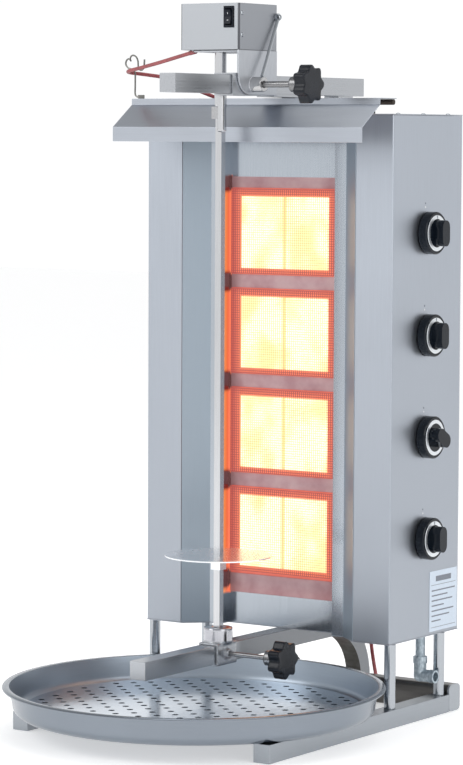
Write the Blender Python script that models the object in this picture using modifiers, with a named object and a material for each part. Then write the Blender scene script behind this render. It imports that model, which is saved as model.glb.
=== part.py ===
"""Vertical rotisserie broiler: a gas-fired upright grill with four ceramic burners, a motor-driven
spit on a sliding carriage, and a round drip pan. Metres, +Z up, the front faces -Y, the gas knobs are
on the +X side. The origin is on the supporting surface, under the middle of the object's box."""

import math

import bmesh
import bpy
from mathutils import Matrix, Vector

# Driving dimensions, in metres.
GAP = 0.0003                    # clearance between touching pieces
SHEET = 0.0012                  # casing sheet
TUBE = 0.030                    # side of the square frame tube
TUBE_WALL = 0.002

PAN_R = 0.311                   # drip pan, over its rim
PAN_RIM_Z = 0.0774
PAN_TO_FRONT = 0.208            # from the pan's centre to the plane of the body's front
LEG_TO_FRONT = 0.312            # from that plane to the back of the arm's leg
FRONT = (PAN_R + PAN_TO_FRONT - LEG_TO_FRONT) / 2   # y of the body's front plane
PAN_Y = FRONT - PAN_TO_FRONT

BODY_HALF_W = 0.243
BODY_D = 0.222
BODY_Z0 = 0.136
BODY_Z1 = 1.001
BACK = FRONT + BODY_D

FOOT_X = 0.235
FOOT_FRONT = FRONT - 0.364
CROSSBAR_Y0 = FRONT + 0.184
CROSSBAR_D = 0.036
CROSSBAR_H = 0.045
COLUMN_X = 0.236
COLUMN_R = 0.0095
COLUMN_Y = (FRONT + 0.014, FRONT + 0.172)

ARM_FRONT = FRONT - 0.365
ARM_TOP = BODY_Z0 - GAP
ARM_BEND_Y = FRONT + 0.195      # where the arm starts to bend down
ARM_BEND_R = LEG_TO_FRONT - 0.195 - TUBE / 2        # of the tube's centre line

WING_X = 0.1715                 # where the reflector's slanted wing leaves the front plane
STRIP_X = 0.134                 # where the wing ends
RECESS_X = 0.112                # side of the burner recess
WING_D = 0.0315
RECESS_D = 0.056
WINDOW_Z = (0.190, 0.896)       # the opening for the burners

BURNER_PITCH = 0.1685
KNOB_Z = [0.8065 - BURNER_PITCH * i for i in range(4)]
KNOB_TURN = (0, 0, 60, 0)       # degrees that each gas knob's grip stands away from upright
BURNER_Z = [z - 0.0020 for z in KNOB_Z]
RACK_WINDOW_H = 0.146
TILE_W = 0.087                  # half the width of a pair of tiles
TILE_H = 0.121
TILE_DROP = 0.0015              # from the rack window's centre down to the tiles'
TILE_FACE = FRONT + 0.0525      # the tiles stand forward through the rack's windows
HOUSING_X = 0.1105
HOUSING_H = 0.154
HOUSING_Y = (FRONT + 0.0594, FRONT + 0.120)
COLLAR = (0.1065, 0.1425)       # half width and height of the burner's rim in the window
GUARD_Y = FRONT + 0.0508

HOOD_HALF_W = 0.245
HOOD_TOP = 1.026
HOOD_LIP_Y = FRONT - 0.0997
HOOD_FLANGE_Y = FRONT - 0.0457

RAIL_X = 0.035
RAIL_Z0 = 1.0319
RAIL_Y = (FRONT - 0.3377, FRONT + 0.2202)

SPIT_Y = FRONT - 0.139
SPIT_SIDE = 0.012
SPIT_TOP = 1.0115
SHAFT_R = 0.0098
SHAFT_BOTTOM = 0.9721
LAP_TOP = 1.0122                # top of the shaft's half-round part
HALF_GAP = 0.0005               # from the axis to each half of the lap joint

BOX_HALF_W = 0.057              # motor box
BOX_Y = (FRONT - 0.171, FRONT - 0.060)
BOX_Z = (1.1021, 1.1763)
SWITCH_X = 0.0374
SWITCH_Z = 1.1543
ROCKER_PIVOT_Y = BOX_Y[0] + 0.0045

UPPER_SCREW = (FRONT - 0.129, RAIL_Z0 + TUBE / 2)   # y, z of the upper clamp screw
LOWER_SCREW = (FRONT - 0.140, ARM_TOP - TUBE / 2)
STAR_R = 0.0315

KNOB_Y = FRONT + 0.113
MANIFOLD = (0.213, FRONT + 0.150)                   # x, y of the gas pipe
PIPE_R = 0.008
ELBOW_Z = 0.064

CORD_R = 0.0032
COIL_CENTRE = (-0.095, FRONT + 0.300)
COIL_R = (0.0272, 0.0408)
COIL_H = 0.0200
PLUG_START = -0.119             # x of the end of the plug's strain relief

STEEL = ((0.60, 0.61, 0.63), 0.30, 1.0)
BRIGHT_STEEL = ((0.72, 0.73, 0.75), 0.15, 1.0)
DARK_STEEL = ((0.30, 0.30, 0.31), 0.45, 1.0)
CERAMIC = ((1.00, 0.62, 0.25), 0.85, 0.0)
BLACK_PLASTIC = ((0.015, 0.016, 0.020), 0.35, 0.0)
BLACK_GLOSS = ((0.010, 0.011, 0.015), 0.20, 0.0)
GALVANISED = ((0.52, 0.58, 0.62), 0.45, 1.0)
BRASS = ((0.72, 0.55, 0.25), 0.30, 1.0)
RED_RUBBER = ((0.45, 0.06, 0.07), 0.50, 0.0)


def clear_scene():
    for obj in list(bpy.data.objects):
        bpy.data.objects.remove(obj, do_unlink=True)


def new_collection(name):
    collection = bpy.data.collections.new(name)
    bpy.context.scene.collection.children.link(collection)
    return collection


clear_scene()
PARTS = new_collection("vertical_rotisserie_broiler")
CUTTERS = new_collection("cutters")


# ---------------------------------------------------------------- helpers

def material(name, look):
    colour, roughness, metallic = look
    made = bpy.data.materials.new(name)
    made.use_nodes = True
    shader = made.node_tree.nodes["Principled BSDF"]
    shader.inputs["Base Color"].default_value = (*colour, 1.0)
    shader.inputs["Roughness"].default_value = roughness
    shader.inputs["Metallic"].default_value = metallic
    return made


def finish(obj, look, origin=None):
    """Gives a part its material, its shading and, when it moves, an origin on its joint's axis."""
    if look:
        obj.data.materials.clear()
        obj.data.materials.append(material(obj.name, look))
    if origin is not None:
        obj.data.transform(Matrix.Translation(-Vector(origin)) @ obj.matrix_world)
        obj.matrix_world = Matrix.Translation(Vector(origin))
    obj.data.shade_smooth()
    obj.data.set_sharp_from_angle(angle=math.radians(35))
    return obj


def place(name, mesh, collection):
    obj = bpy.data.objects.new(name, mesh)
    collection.objects.link(obj)
    if collection is CUTTERS:
        obj.hide_render = True
        obj.display_type = "WIRE"
    return obj


def box(name, low, high, collection=PARTS):
    low, high = Vector(low), Vector(high)
    size = high - low
    bm = bmesh.new()
    bmesh.ops.create_cube(bm, size=1.0)
    matrix = Matrix.Translation((low + high) / 2) @ Matrix.Diagonal((*size, 1.0))
    bmesh.ops.transform(bm, matrix=matrix, verts=bm.verts)
    mesh = bpy.data.meshes.new(name)
    bm.to_mesh(mesh)
    bm.free()
    return place(name, mesh, collection)


def rod(name, start, end, radius, collection=PARTS, segments=24, end_radius=None):
    start, end = Vector(start), Vector(end)
    axis = end - start
    bm = bmesh.new()
    bmesh.ops.create_cone(
        bm, cap_ends=True, segments=segments, radius1=radius,
        radius2=radius if end_radius is None else end_radius, depth=axis.length)
    turn = axis.to_track_quat("Z", "Y").to_matrix().to_4x4()
    bmesh.ops.transform(bm, matrix=Matrix.Translation((start + end) / 2) @ turn, verts=bm.verts)
    mesh = bpy.data.meshes.new(name)
    bm.to_mesh(mesh)
    bm.free()
    return place(name, mesh, collection)


def ball(name, centre, radius, collection=CUTTERS):
    bm = bmesh.new()
    bmesh.ops.create_uvsphere(bm, u_segments=20, v_segments=12, radius=radius)
    bmesh.ops.transform(bm, matrix=Matrix.Translation(centre), verts=bm.verts)
    mesh = bpy.data.meshes.new(name)
    bm.to_mesh(mesh)
    bm.free()
    return place(name, mesh, collection)


def mesh_from_curve(name, data, matrix, collection):
    """A curve's mesh, with its loose caps welded on."""
    curve = bpy.data.objects.new(name + "_outline", data)
    collection.objects.link(curve)
    curve.matrix_world = matrix
    bpy.context.view_layer.update()
    graph = bpy.context.evaluated_depsgraph_get()
    mesh = bpy.data.meshes.new_from_object(curve.evaluated_get(graph))
    mesh.name = name
    bm = bmesh.new()
    bm.from_mesh(mesh)
    bmesh.ops.remove_doubles(bm, verts=bm.verts, dist=0.000002)
    bmesh.ops.recalc_face_normals(bm, faces=bm.faces)
    bm.to_mesh(mesh)
    bm.free()
    obj = place(name, mesh, collection)
    obj.matrix_world = matrix
    bpy.data.objects.remove(curve, do_unlink=True)
    return obj


PLANES = {
    # outline's x, outline's y and the extrusion as world axes
    "XY": Matrix(((1, 0, 0), (0, 1, 0), (0, 0, 1))),
    "YZ": Matrix(((0, 0, 1), (1, 0, 0), (0, 1, 0))),
    "XZ": Matrix(((1, 0, 0), (0, 0, -1), (0, 1, 0))),
}


def prism(name, outline, plane, start, end, collection=PARTS):
    """A flat outline in a world plane, extruded across it from start to end."""
    data = bpy.data.curves.new(name, "CURVE")
    data.dimensions = "2D"
    data.fill_mode = "BOTH"
    data.extrude = abs(end - start) / 2
    spline = data.splines.new("POLY")
    spline.points.add(len(outline) - 1)
    for point, (a, b) in zip(spline.points, outline):
        point.co = (a, b, 0, 1)
    spline.use_cyclic_u = True
    turn = PLANES[plane].to_4x4()
    middle = (start + end) / 2
    if plane == "XZ":
        middle = -middle
    return mesh_from_curve(name, data, turn @ Matrix.Translation((0, 0, middle)), collection)


def arc(centre, radius, start_deg, end_deg, steps):
    points = []
    for i in range(steps + 1):
        angle = math.radians(start_deg + (end_deg - start_deg) * i / steps)
        points.append((centre[0] + radius * math.cos(angle), centre[1] + radius * math.sin(angle)))
    return points


def rounded_rectangle(low, high, radius, steps=4):
    (x0, y0), (x1, y1) = low, high
    corners = (((x1 - radius, y0 + radius), -90), ((x1 - radius, y1 - radius), 0),
               ((x0 + radius, y1 - radius), 90), ((x0 + radius, y0 + radius), 180))
    return [p for centre, turn in corners for p in arc(centre, radius, turn, turn + 90, steps)]


def folded(path, thickness):
    """The closed outline of a folded sheet: the path, and the same path offset to its left."""
    inner = []
    for i, point in enumerate(path):
        here = Vector(point)
        before = (here - Vector(path[i - 1])).normalized() if i else None
        after = (Vector(path[i + 1]) - here).normalized() if i + 1 < len(path) else None
        before = before or after
        after = after or before
        left_a = Vector((-before.y, before.x))
        left_b = Vector((-after.y, after.x))
        middle = (left_a + left_b).normalized()
        inner.append(tuple(here + middle * thickness / middle.dot(left_a)))
    return list(path) + inner[::-1]


def cut(obj, cutter):
    modifier = obj.modifiers.new("cut_" + cutter.name, "BOOLEAN")
    modifier.operation = "DIFFERENCE"
    modifier.object = cutter


def join(obj, other):
    modifier = obj.modifiers.new("join_" + other.name, "BOOLEAN")
    modifier.operation = "UNION"
    modifier.object = other


def turned(name, profile, steps, origin=(0, 0, 0), axis="Z", collection=PARTS):
    """A profile of (radius, height) points, top to bottom on its outer side, turned about an axis."""
    mesh = bpy.data.meshes.new(name)
    count = len(profile)
    edges = [(i, (i + 1) % count) for i in range(count)]
    if profile[0][0] == 0 and profile[-1][0] == 0:
        edges.pop()
    mesh.from_pydata([(r, 0, z) for r, z in profile], edges, [])
    obj = place(name, mesh, collection)
    screw = obj.modifiers.new("turn", "SCREW")
    screw.steps = steps
    screw.render_steps = steps
    screw.use_merge_vertices = True
    screw.merge_threshold = 0.00001
    obj.location = origin
    if axis == "X":
        obj.rotation_euler = (0, math.radians(90), 0)
    if axis == "-X":
        obj.rotation_euler = (0, math.radians(-90), 0)
    return obj


def smooth_curve(points, spacing):
    """Points at even steps on a Catmull-Rom curve through the given ones."""
    knots = [Vector(p) for p in points]
    knots = [2 * knots[0] - knots[1]] + knots + [2 * knots[-1] - knots[-2]]
    dense = []
    for a, b, c, d in zip(knots, knots[1:], knots[2:], knots[3:]):
        for k in range(24):
            t = k / 24
            dense.append(0.5 * (2 * b + (c - a) * t + (2 * a - 5 * b + 4 * c - d) * t * t
                                + (3 * b - a - 3 * c + d) * t ** 3))
    dense.append(knots[-2])
    lengths = [0.0]
    for a, b in zip(dense, dense[1:]):
        lengths.append(lengths[-1] + (b - a).length)
    count = max(2, round(lengths[-1] / spacing))
    out = []
    at = 0
    for i in range(count + 1):
        target = lengths[-1] * i / count
        while at < len(dense) - 2 and lengths[at + 1] < target:
            at += 1
        share = (target - lengths[at]) / max(1e-9, lengths[at + 1] - lengths[at])
        out.append(dense[at].lerp(dense[at + 1], share))
    return out


def tube(name, points, radius, resolution, look):
    data = bpy.data.curves.new(name, "CURVE")
    data.dimensions = "3D"
    data.bevel_depth = radius
    data.bevel_resolution = resolution
    data.use_fill_caps = True
    spline = data.splines.new("POLY")
    spline.points.add(len(points) - 1)
    for point, co in zip(spline.points, points):
        point.co = (*co, 1)
    return finish(mesh_from_curve(name, data, Matrix.Identity(4), PARTS), look)


# ---------------------------------------------------------------- base

def base_foot(name, side):
    x = side * FOOT_X
    half = TUBE / 2
    foot = box(name, (x - half, FOOT_FRONT, 0), (x + half, CROSSBAR_Y0 - GAP, TUBE))
    inside = half - TUBE_WALL
    cut(foot, box(name + "_bore", (x - inside, FOOT_FRONT + TUBE_WALL, TUBE_WALL),
                  (x + inside, CROSSBAR_Y0 + 0.01, TUBE - TUBE_WALL), CUTTERS))
    finish(foot, STEEL)


def rear_crossbar():
    half = FOOT_X + TUBE / 2
    back = CROSSBAR_Y0 + CROSSBAR_D
    outline = rounded_rectangle((CROSSBAR_Y0, 0), (back, CROSSBAR_H), 0.008)
    bar = prism("rear_crossbar", outline, "YZ", -half, half)
    wall = TUBE_WALL
    inner = rounded_rectangle((CROSSBAR_Y0 + wall, wall), (back - wall, CROSSBAR_H - wall), 0.006)
    cut(bar, prism("crossbar_bore", inner, "YZ", wall - half, half - wall, CUTTERS))
    middle = (0, back, CROSSBAR_H / 2)
    cut(bar, rod("crossbar_vent", Vector(middle) - Vector((0, 0.01, 0)),
                 Vector(middle) + Vector((0, 0.01, 0)), 0.004, CUTTERS, 12))
    finish(bar, STEEL)


def columns():
    for side, side_name in ((-1, "left"), (1, "right")):
        for y, end_name in zip(COLUMN_Y, ("front", "rear")):
            x = side * COLUMN_X
            post = rod("column_" + side_name + "_" + end_name, (x, y, TUBE + GAP),
                       (x, y, BODY_Z0 - GAP), COLUMN_R)
            finish(post, BRIGHT_STEEL)


def arm_outline(inset, front, foot_z):
    """The arm from the side: straight, then bent down to the floor."""
    top = ARM_TOP - inset
    low = ARM_TOP - TUBE + inset
    centre = (ARM_BEND_Y, ARM_TOP - TUBE / 2 - ARM_BEND_R)
    inner_r = ARM_BEND_R - TUBE / 2 + inset
    outer_r = ARM_BEND_R + TUBE / 2 - inset
    inner = arc(centre, inner_r, 90, 0, 12)
    outer = arc(centre, outer_r, 0, 90, 12)
    return ([(front, low)] + inner + [(centre[0] + inner_r, foot_z), (centre[0] + outer_r, foot_z)]
            + outer + [(front, top)])


def lower_arm():
    half = TUBE / 2
    arm = prism("lower_arm", arm_outline(0, ARM_FRONT, 0), "YZ", -half, half)
    inside = half - TUBE_WALL
    bore = arm_outline(TUBE_WALL, ARM_FRONT + TUBE_WALL, -0.02)
    cut(arm, prism("arm_bore", bore, "YZ", -inside, inside, CUTTERS))
    finish(arm, STEEL)


# ---------------------------------------------------------------- body

def reflector_path():
    half = [(RECESS_X, RECESS_D), (RECESS_X, WING_D), (STRIP_X, WING_D), (WING_X, 0)]
    left = [(-x, FRONT + y) for x, y in half[::-1]]
    right = [(x, FRONT + y) for x, y in half]
    return left + right


def bottom_plate():
    outline = ([(-BODY_HALF_W, FRONT)] + reflector_path()
               + [(BODY_HALF_W, FRONT), (BODY_HALF_W, BACK), (-BODY_HALF_W, BACK)])
    plate = prism("bottom_plate", outline, "XY", BODY_Z0, BODY_Z0 + 0.0015)
    x, y = MANIFOLD
    cut(plate, rod("pipe_hole", (x, y, BODY_Z0 - 0.02), (x, y, BODY_Z0 + 0.02), PIPE_R + 0.002,
                   CUTTERS))
    finish(plate, STEEL)


WALL_Z = (BODY_Z0 + 0.0018, BODY_Z1 - 0.0020)


def side_panel(name, side):
    """A cover folded round the corner: front flat, side, and a flange at the back."""
    bend = 0.0025
    w = BODY_HALF_W
    front_corner = arc((w - bend, FRONT + bend), bend, -90, 0, 3)
    back_corner = arc((w - bend, BACK - bend), bend, 0, 90, 3)
    path = [(WING_X + SHEET, FRONT)] + front_corner + back_corner + [(w - 0.0195, BACK)]
    outline = folded(path, SHEET)
    if side < 0:
        outline = [(-x, y) for x, y in outline]
    panel = prism(name, outline, "XY", *WALL_Z)
    if side > 0:
        for i, z in enumerate(KNOB_Z):
            cut(panel, rod("stem_hole_%d" % (i + 1), (w - 0.01, KNOB_Y, z), (w + 0.01, KNOB_Y, z),
                           0.006, CUTTERS, 16))
    finish(panel, STEEL)


def rear_panel():
    half = BODY_HALF_W - 0.0195 - GAP
    panel = box("rear_panel", (-half, BACK - SHEET, WALL_Z[0]), (half, BACK, WALL_Z[1]))
    for row in range(4):
        z = 0.62 + 0.06 * row
        for column in range(3):
            x = -0.13 + 0.13 * column
            slot = box("vent_%d_%d" % (row, column), (x - 0.035, BACK - 0.01, z - 0.004),
                       (x + 0.035, BACK + 0.01, z + 0.004), CUTTERS)
            cut(panel, slot)
    finish(panel, STEEL)


def top_cover():
    cover = box("top_cover", (-BODY_HALF_W, FRONT, BODY_Z1 - 0.0017), (BODY_HALF_W, BACK, BODY_Z1))
    finish(cover, STEEL)


def front_reflector():
    """One sheet, folded into wings and a deep recess, with the burners' opening in its back."""
    sheet = prism("front_reflector", folded(reflector_path(), SHEET), "XY", *WALL_Z)
    half = RECESS_X - 0.0025
    cut(sheet, box("burner_opening", (-half, FRONT + RECESS_D - 0.005, WINDOW_Z[0]),
                   (half, FRONT + RECESS_D + 0.005, WINDOW_Z[1]), CUTTERS))
    finish(sheet, STEEL)


def burner_rack():
    """The ladder behind the opening that the burners are bolted to."""
    y = FRONT + RECESS_D + SHEET + 0.0004
    half = RECESS_X - 0.0005
    rack = box("burner_rack", (-half, y, WINDOW_Z[0] - 0.004), (half, y + SHEET, WINDOW_Z[1] + 0.004))
    inside = RECESS_X - 0.003
    for i, z in enumerate(BURNER_Z):
        low = z - RACK_WINDOW_H / 2
        if i == 3:
            low -= 0.004
        cut(rack, box("rack_window_%d" % (i + 1), (-inside, y - 0.01, low),
                      (inside, y + 0.01, z + RACK_WINDOW_H / 2), CUTTERS))
    finish(rack, STEEL)


def hood():
    lip_bottom, lip_top, slant_top = 0.9544, 0.9785, 1.0157
    path = [(HOOD_LIP_Y, lip_bottom), (HOOD_LIP_Y, lip_top), (HOOD_FLANGE_Y, slant_top),
            (HOOD_FLANGE_Y, HOOD_TOP), (FRONT + 0.006, HOOD_TOP)]
    outline = folded(path[::-1], SHEET)
    finish(prism("hood", outline, "YZ", -HOOD_HALF_W, HOOD_HALF_W), STEEL)


def hood_bar():
    """The bar that the hood's top rests on, on two posts."""
    z = 1.0198
    half = BODY_HALF_W
    bar = rod("hood_bar", (-half, FRONT, z), (half, FRONT, z), 0.0046)
    for side in (-1, 1):
        x = side * 0.200
        join(bar, box("bar_post_%d" % side, (x - 0.006, FRONT + GAP, BODY_Z1 + GAP),
                      (x + 0.006, FRONT + 0.0035, z), CUTTERS))
    finish(bar, DARK_STEEL)


def upper_rail():
    """The tube that the motor carriage slides on, with its welded support plates."""
    half = TUBE / 2
    z1 = RAIL_Z0 + TUBE
    rail = box("upper_rail", (RAIL_X - half, RAIL_Y[0], RAIL_Z0), (RAIL_X + half, RAIL_Y[1], z1))
    low = BODY_Z1 + GAP
    plates = (("front_plate", (-0.061, 0.045), (1.0275, RAIL_Z0 + 0.001), 0.017),
              ("front_post", (0.008, 0.040), (low, 1.0285), 0.013),
              ("support_strip", (0.020, 0.187), (low, low + 0.003), 0.017),
              ("rear_pad", (0.140, 0.187), (low, RAIL_Z0 + 0.001), 0.014))
    for name, (y0, y1), (z_low, z_high), wide in plates:
        join(rail, box(name, (RAIL_X - wide, FRONT + y0, z_low),
                       (RAIL_X + wide, FRONT + y1, z_high), CUTTERS))
    inside = half - TUBE_WALL
    cut(rail, box("rail_bore", (RAIL_X - inside, RAIL_Y[0] + TUBE_WALL, RAIL_Z0 + TUBE_WALL),
                  (RAIL_X + inside, RAIL_Y[1] + 0.01, z1 - TUBE_WALL), CUTTERS))
    finish(rail, STEEL)


HOOK = (-0.2505, FRONT - 0.028)                      # x, y of the hook's upright wire


def cord_hook():
    """A wire pigtail: an upright with two open loops and a turned-up tail, on a threaded foot."""
    x, y = HOOK
    route = [(0.011, 0, 1.0292), (0.004, 0, 1.0294), (0, 0, 1.0340), (0, 0, 1.0480), (0, 0, 1.0640),
             (-0.0005, 0, 1.0710), (-0.0065, 0, 1.0756), (-0.0150, 0.0005, 1.0780),
             (-0.0205, 0.001, 1.0845), (-0.0190, 0.0015, 1.0910), (-0.0135, 0.001, 1.0935),
             (-0.0085, -0.001, 1.0900), (-0.0085, -0.003, 1.0930), (-0.0050, -0.005, 1.0975),
             (0.0005, -0.006, 1.0990), (0.0065, -0.006, 1.0960), (0.0100, -0.006, 1.0890),
             (0.0105, -0.006, 1.0810), (0.0135, -0.006, 1.0745), (0.0190, -0.006, 1.0745),
             (0.0225, -0.006, 1.0805), (0.0235, -0.006, 1.0920)]
    points = smooth_curve([(x + a, y + b, z) for a, b, z in route], 0.0028)
    hook = tube("cord_hook", points, 0.0015, 2, BRIGHT_STEEL)
    join(hook, rod("hook_nut", (x + 0.0125, y, HOOD_TOP + GAP), (x + 0.0125, y, HOOD_TOP + 0.0065),
                   0.0058, CUTTERS, 6))


# ---------------------------------------------------------------- burners and gas

def burner(number, z):
    suffix = "_%d" % number
    front, back = HOUSING_Y
    half, tall = COLLAR[0], COLLAR[1] / 2
    housing = box("burner_housing" + suffix, (-HOUSING_X, front, z - HOUSING_H / 2),
                  (HOUSING_X, back, z + HOUSING_H / 2))
    join(housing, box("burner_rim" + suffix, (-half, TILE_FACE + 0.0003, z - tall),
                      (half, front + 0.001, z + tall), CUTTERS))
    low = z - TILE_DROP - TILE_H / 2
    high = low + TILE_H
    play = 0.0006
    floor = TILE_FACE + 0.0126
    cut(housing, box("tile_pocket" + suffix, (-TILE_W - play, TILE_FACE - 0.01, low - play),
                     (TILE_W + play, floor, high + play), CUTTERS))
    cut(housing, box("plenum" + suffix, (-HOUSING_X + 0.003, floor + 0.002, z - HOUSING_H / 2 + 0.003),
                     (HOUSING_X - 0.003, back + 0.01, z + HOUSING_H / 2 - 0.003), CUTTERS))
    cut(housing, box("gas_slot" + suffix, (-0.05, floor - 0.005, z - 0.02),
                     (0.05, floor + 0.005, z + 0.02), CUTTERS))
    finish(housing, DARK_STEEL)

    tiles = box("ceramic_tiles" + suffix, (-TILE_W, TILE_FACE, low), (TILE_W, TILE_FACE + 0.012, high))
    cut(tiles, box("tile_joint" + suffix, (-0.0018, TILE_FACE - 0.01, z - 0.1),
                   (0.0018, TILE_FACE + 0.009, z + 0.1), CUTTERS))
    finish(tiles, CERAMIC)

    guard = box("mesh_guard" + suffix, (-half, GUARD_Y, z - tall), (half, GUARD_Y + 0.0008, z + tall))
    finish(guard, BRIGHT_STEEL)


def gas_valve(number, z):
    inner = BODY_HALF_W - SHEET - GAP
    valve = box("gas_valve_%d" % number, (0.190, KNOB_Y - 0.015, z - 0.013),
                (inner, MANIFOLD[1] - 0.0103, z + 0.013))
    join(valve, rod("burner_feed_%d" % number, (HOUSING_X + GAP, KNOB_Y - 0.009, z),
                    (0.195, KNOB_Y - 0.009, z), 0.005, CUTTERS, 16))
    cut(valve, rod("stem_bore_%d" % number, (inner - 0.022, KNOB_Y, z), (inner + 0.01, KNOB_Y, z),
                   0.0045, CUTTERS, 16))
    finish(valve, BRASS)


def grip_outline(half_length, half_width):
    """A bar grip with round ends, seen along the knob's axis: y across, z along."""
    reach = half_length - half_width
    return (arc((0, reach), half_width, 0, 180, 8) + arc((0, -reach), half_width, 180, 360, 8))


def gas_knob(number, z, turn):
    """A round skirt with a bar grip, on its valve's stem. The grip is turned about the stem."""
    wall = BODY_HALF_W
    y = KNOB_Y
    skirt = [(0, 0.0150), (0.0335, 0.0150), (0.0350, 0.0135), (0.0350, 0), (0, 0)]
    knob = turned("gas_knob_%d" % number, skirt, 36, (wall + 0.0015, y, z), "X")
    cosine, sine = math.cos(turn), math.sin(turn)
    outline = [(y + a * cosine - b * sine, z + a * sine + b * cosine)
               for a, b in grip_outline(0.0215, 0.0115)]
    join(knob, prism("knob_grip_%d" % number, outline, "YZ", wall + 0.010, wall + 0.0345, CUTTERS))
    join(knob, rod("knob_stem_%d" % number, (wall - 0.018, y, z), (wall + 0.005, y, z), 0.004,
                   CUTTERS, 16))
    knob.data.materials.append(material(knob.name, BLACK_PLASTIC))


def gas_pipes():
    x, y = MANIFOLD
    manifold = rod("gas_manifold", (x, y, 0.1522), (x, y, KNOB_Z[0] + 0.03), 0.010, segments=20)
    finish(manifold, GALVANISED)
    inlet = rod("gas_inlet", (x, y, 0.085), (x, y, 0.1519), PIPE_R)
    mouth = BODY_HALF_W
    pieces = (rod("inlet_collar", (x, y, 0.085), (x, y, 0.096), 0.0118, CUTTERS),
              rod("elbow_drop", (x, y, ELBOW_Z), (x, y, 0.088), 0.0105, CUTTERS),
              ball("elbow_corner", (x, y, ELBOW_Z), 0.0108),
              rod("elbow_run", (x, y, ELBOW_Z), (mouth - 0.006, y, ELBOW_Z), 0.0103, CUTTERS),
              rod("elbow_lip", (mouth - 0.010, y, ELBOW_Z), (mouth, y, ELBOW_Z), 0.0112, CUTTERS))
    for piece in pieces:
        join(inlet, piece)
    cut(inlet, rod("elbow_bore", (mouth - 0.016, y, ELBOW_Z), (mouth + 0.01, y, ELBOW_Z), 0.0080,
                   CUTTERS))
    finish(inlet, GALVANISED)


# ---------------------------------------------------------------- upper carriage and drive

def sleeve(name, x, z0, y0, y1, wall=0.0025, play=0.0005):
    """A square sleeve round a frame tube whose underside is at z0."""
    half = TUBE / 2 + play
    outer = half + wall
    middle = z0 + TUBE / 2
    body = box(name, (x - outer, y0, middle - outer), (x + outer, y1, middle + outer))
    cut(body, box(name + "_bore", (x - half, y0 - 0.01, middle - half),
                  (x + half, y1 + 0.01, middle + half), CUTTERS))
    return body


def upper_sleeve():
    y, z = UPPER_SCREW
    body = sleeve("upper_sleeve", RAIL_X, RAIL_Z0, FRONT - 0.182, FRONT - 0.100)
    cut(body, rod("upper_screw_hole", (RAIL_X + 0.005, y, z), (RAIL_X + 0.03, y, z), 0.0058, CUTTERS,
                  16))
    finish(body, STEEL)


def motor_bracket():
    """An upright plate welded to the sleeve, with a shelf under the motor and the clamp's bush."""
    outer = BOX_HALF_W - 0.0004
    y0, y1 = BOX_Y
    z0, z1 = 1.030, BOX_Z[0] - GAP
    radius = 0.034
    outline = ([(y1, z0), (y1, z1), (y0, z1)]
               + arc((y0 + radius, z0 + radius), radius, 180, 270, 8))
    plate = prism("motor_bracket", outline, "YZ", outer - 0.003, outer)
    join(plate, box("motor_shelf", (-0.035, y0 + 0.006, z1 - 0.0033), (outer - 0.001, y1 - 0.002, z1),
                    CUTTERS))
    y, z = UPPER_SCREW
    join(plate, rod("clamp_bush", (outer - 0.002, y, z), (0.078, y, z), 0.012, CUTTERS))
    cut(plate, rod("bush_bore", (outer - 0.02, y, z), (0.09, y, z), 0.0056, CUTTERS, 16))
    cut(plate, rod("shaft_hole", (0, SPIT_Y, z1 - 0.02), (0, SPIT_Y, z1 + 0.02), 0.0125, CUTTERS))
    finish(plate, STEEL)


def motor_box():
    y0, y1 = BOX_Y
    outline = rounded_rectangle((-BOX_HALF_W, y0), (BOX_HALF_W, y1), 0.003, 3)
    shell = prism("motor_box", outline, "XY", *BOX_Z)
    inner = rounded_rectangle((-BOX_HALF_W + SHEET, y0 + SHEET), (BOX_HALF_W - SHEET, y1 - SHEET),
                              0.002, 3)
    cut(shell, prism("motor_box_inside", inner, "XY", BOX_Z[0] - 0.01, BOX_Z[1] - SHEET, CUTTERS))
    cut(shell, box("switch_opening", (SWITCH_X - 0.0083, y0 - 0.01, SWITCH_Z - 0.0163),
                   (SWITCH_X + 0.0083, y0 + 0.01, SWITCH_Z + 0.0163), CUTTERS))
    finish(shell, STEEL)


def gear_motor():
    low = BOX_Z[0] + 0.0003
    gearbox = box("gear_motor", (-0.029, FRONT - 0.163, low), (0.029, FRONT - 0.095, 1.136))
    join(gearbox, rod("motor_can", (-0.002, FRONT - 0.112, 1.130), (-0.002, FRONT - 0.112, 1.1715),
                      0.0245, CUTTERS, 28))
    cut(gearbox, rod("output_bore", (0, SPIT_Y, low - 0.01), (0, SPIT_Y, low + 0.022),
                     SHAFT_R + 0.0004, CUTTERS))
    finish(gearbox, DARK_STEEL)


def drive_shaft():
    shaft = rod("drive_shaft", (0, SPIT_Y, SHAFT_BOTTOM), (0, SPIT_Y, BOX_Z[0] + 0.0205), SHAFT_R)
    cut(shaft, box("shaft_flat", (-0.02, SPIT_Y - 0.02, SHAFT_BOTTOM - 0.01),
                   (HALF_GAP, SPIT_Y + 0.02, LAP_TOP), CUTTERS))
    finish(shaft, BRIGHT_STEEL, (0, SPIT_Y, LAP_TOP))


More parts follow.
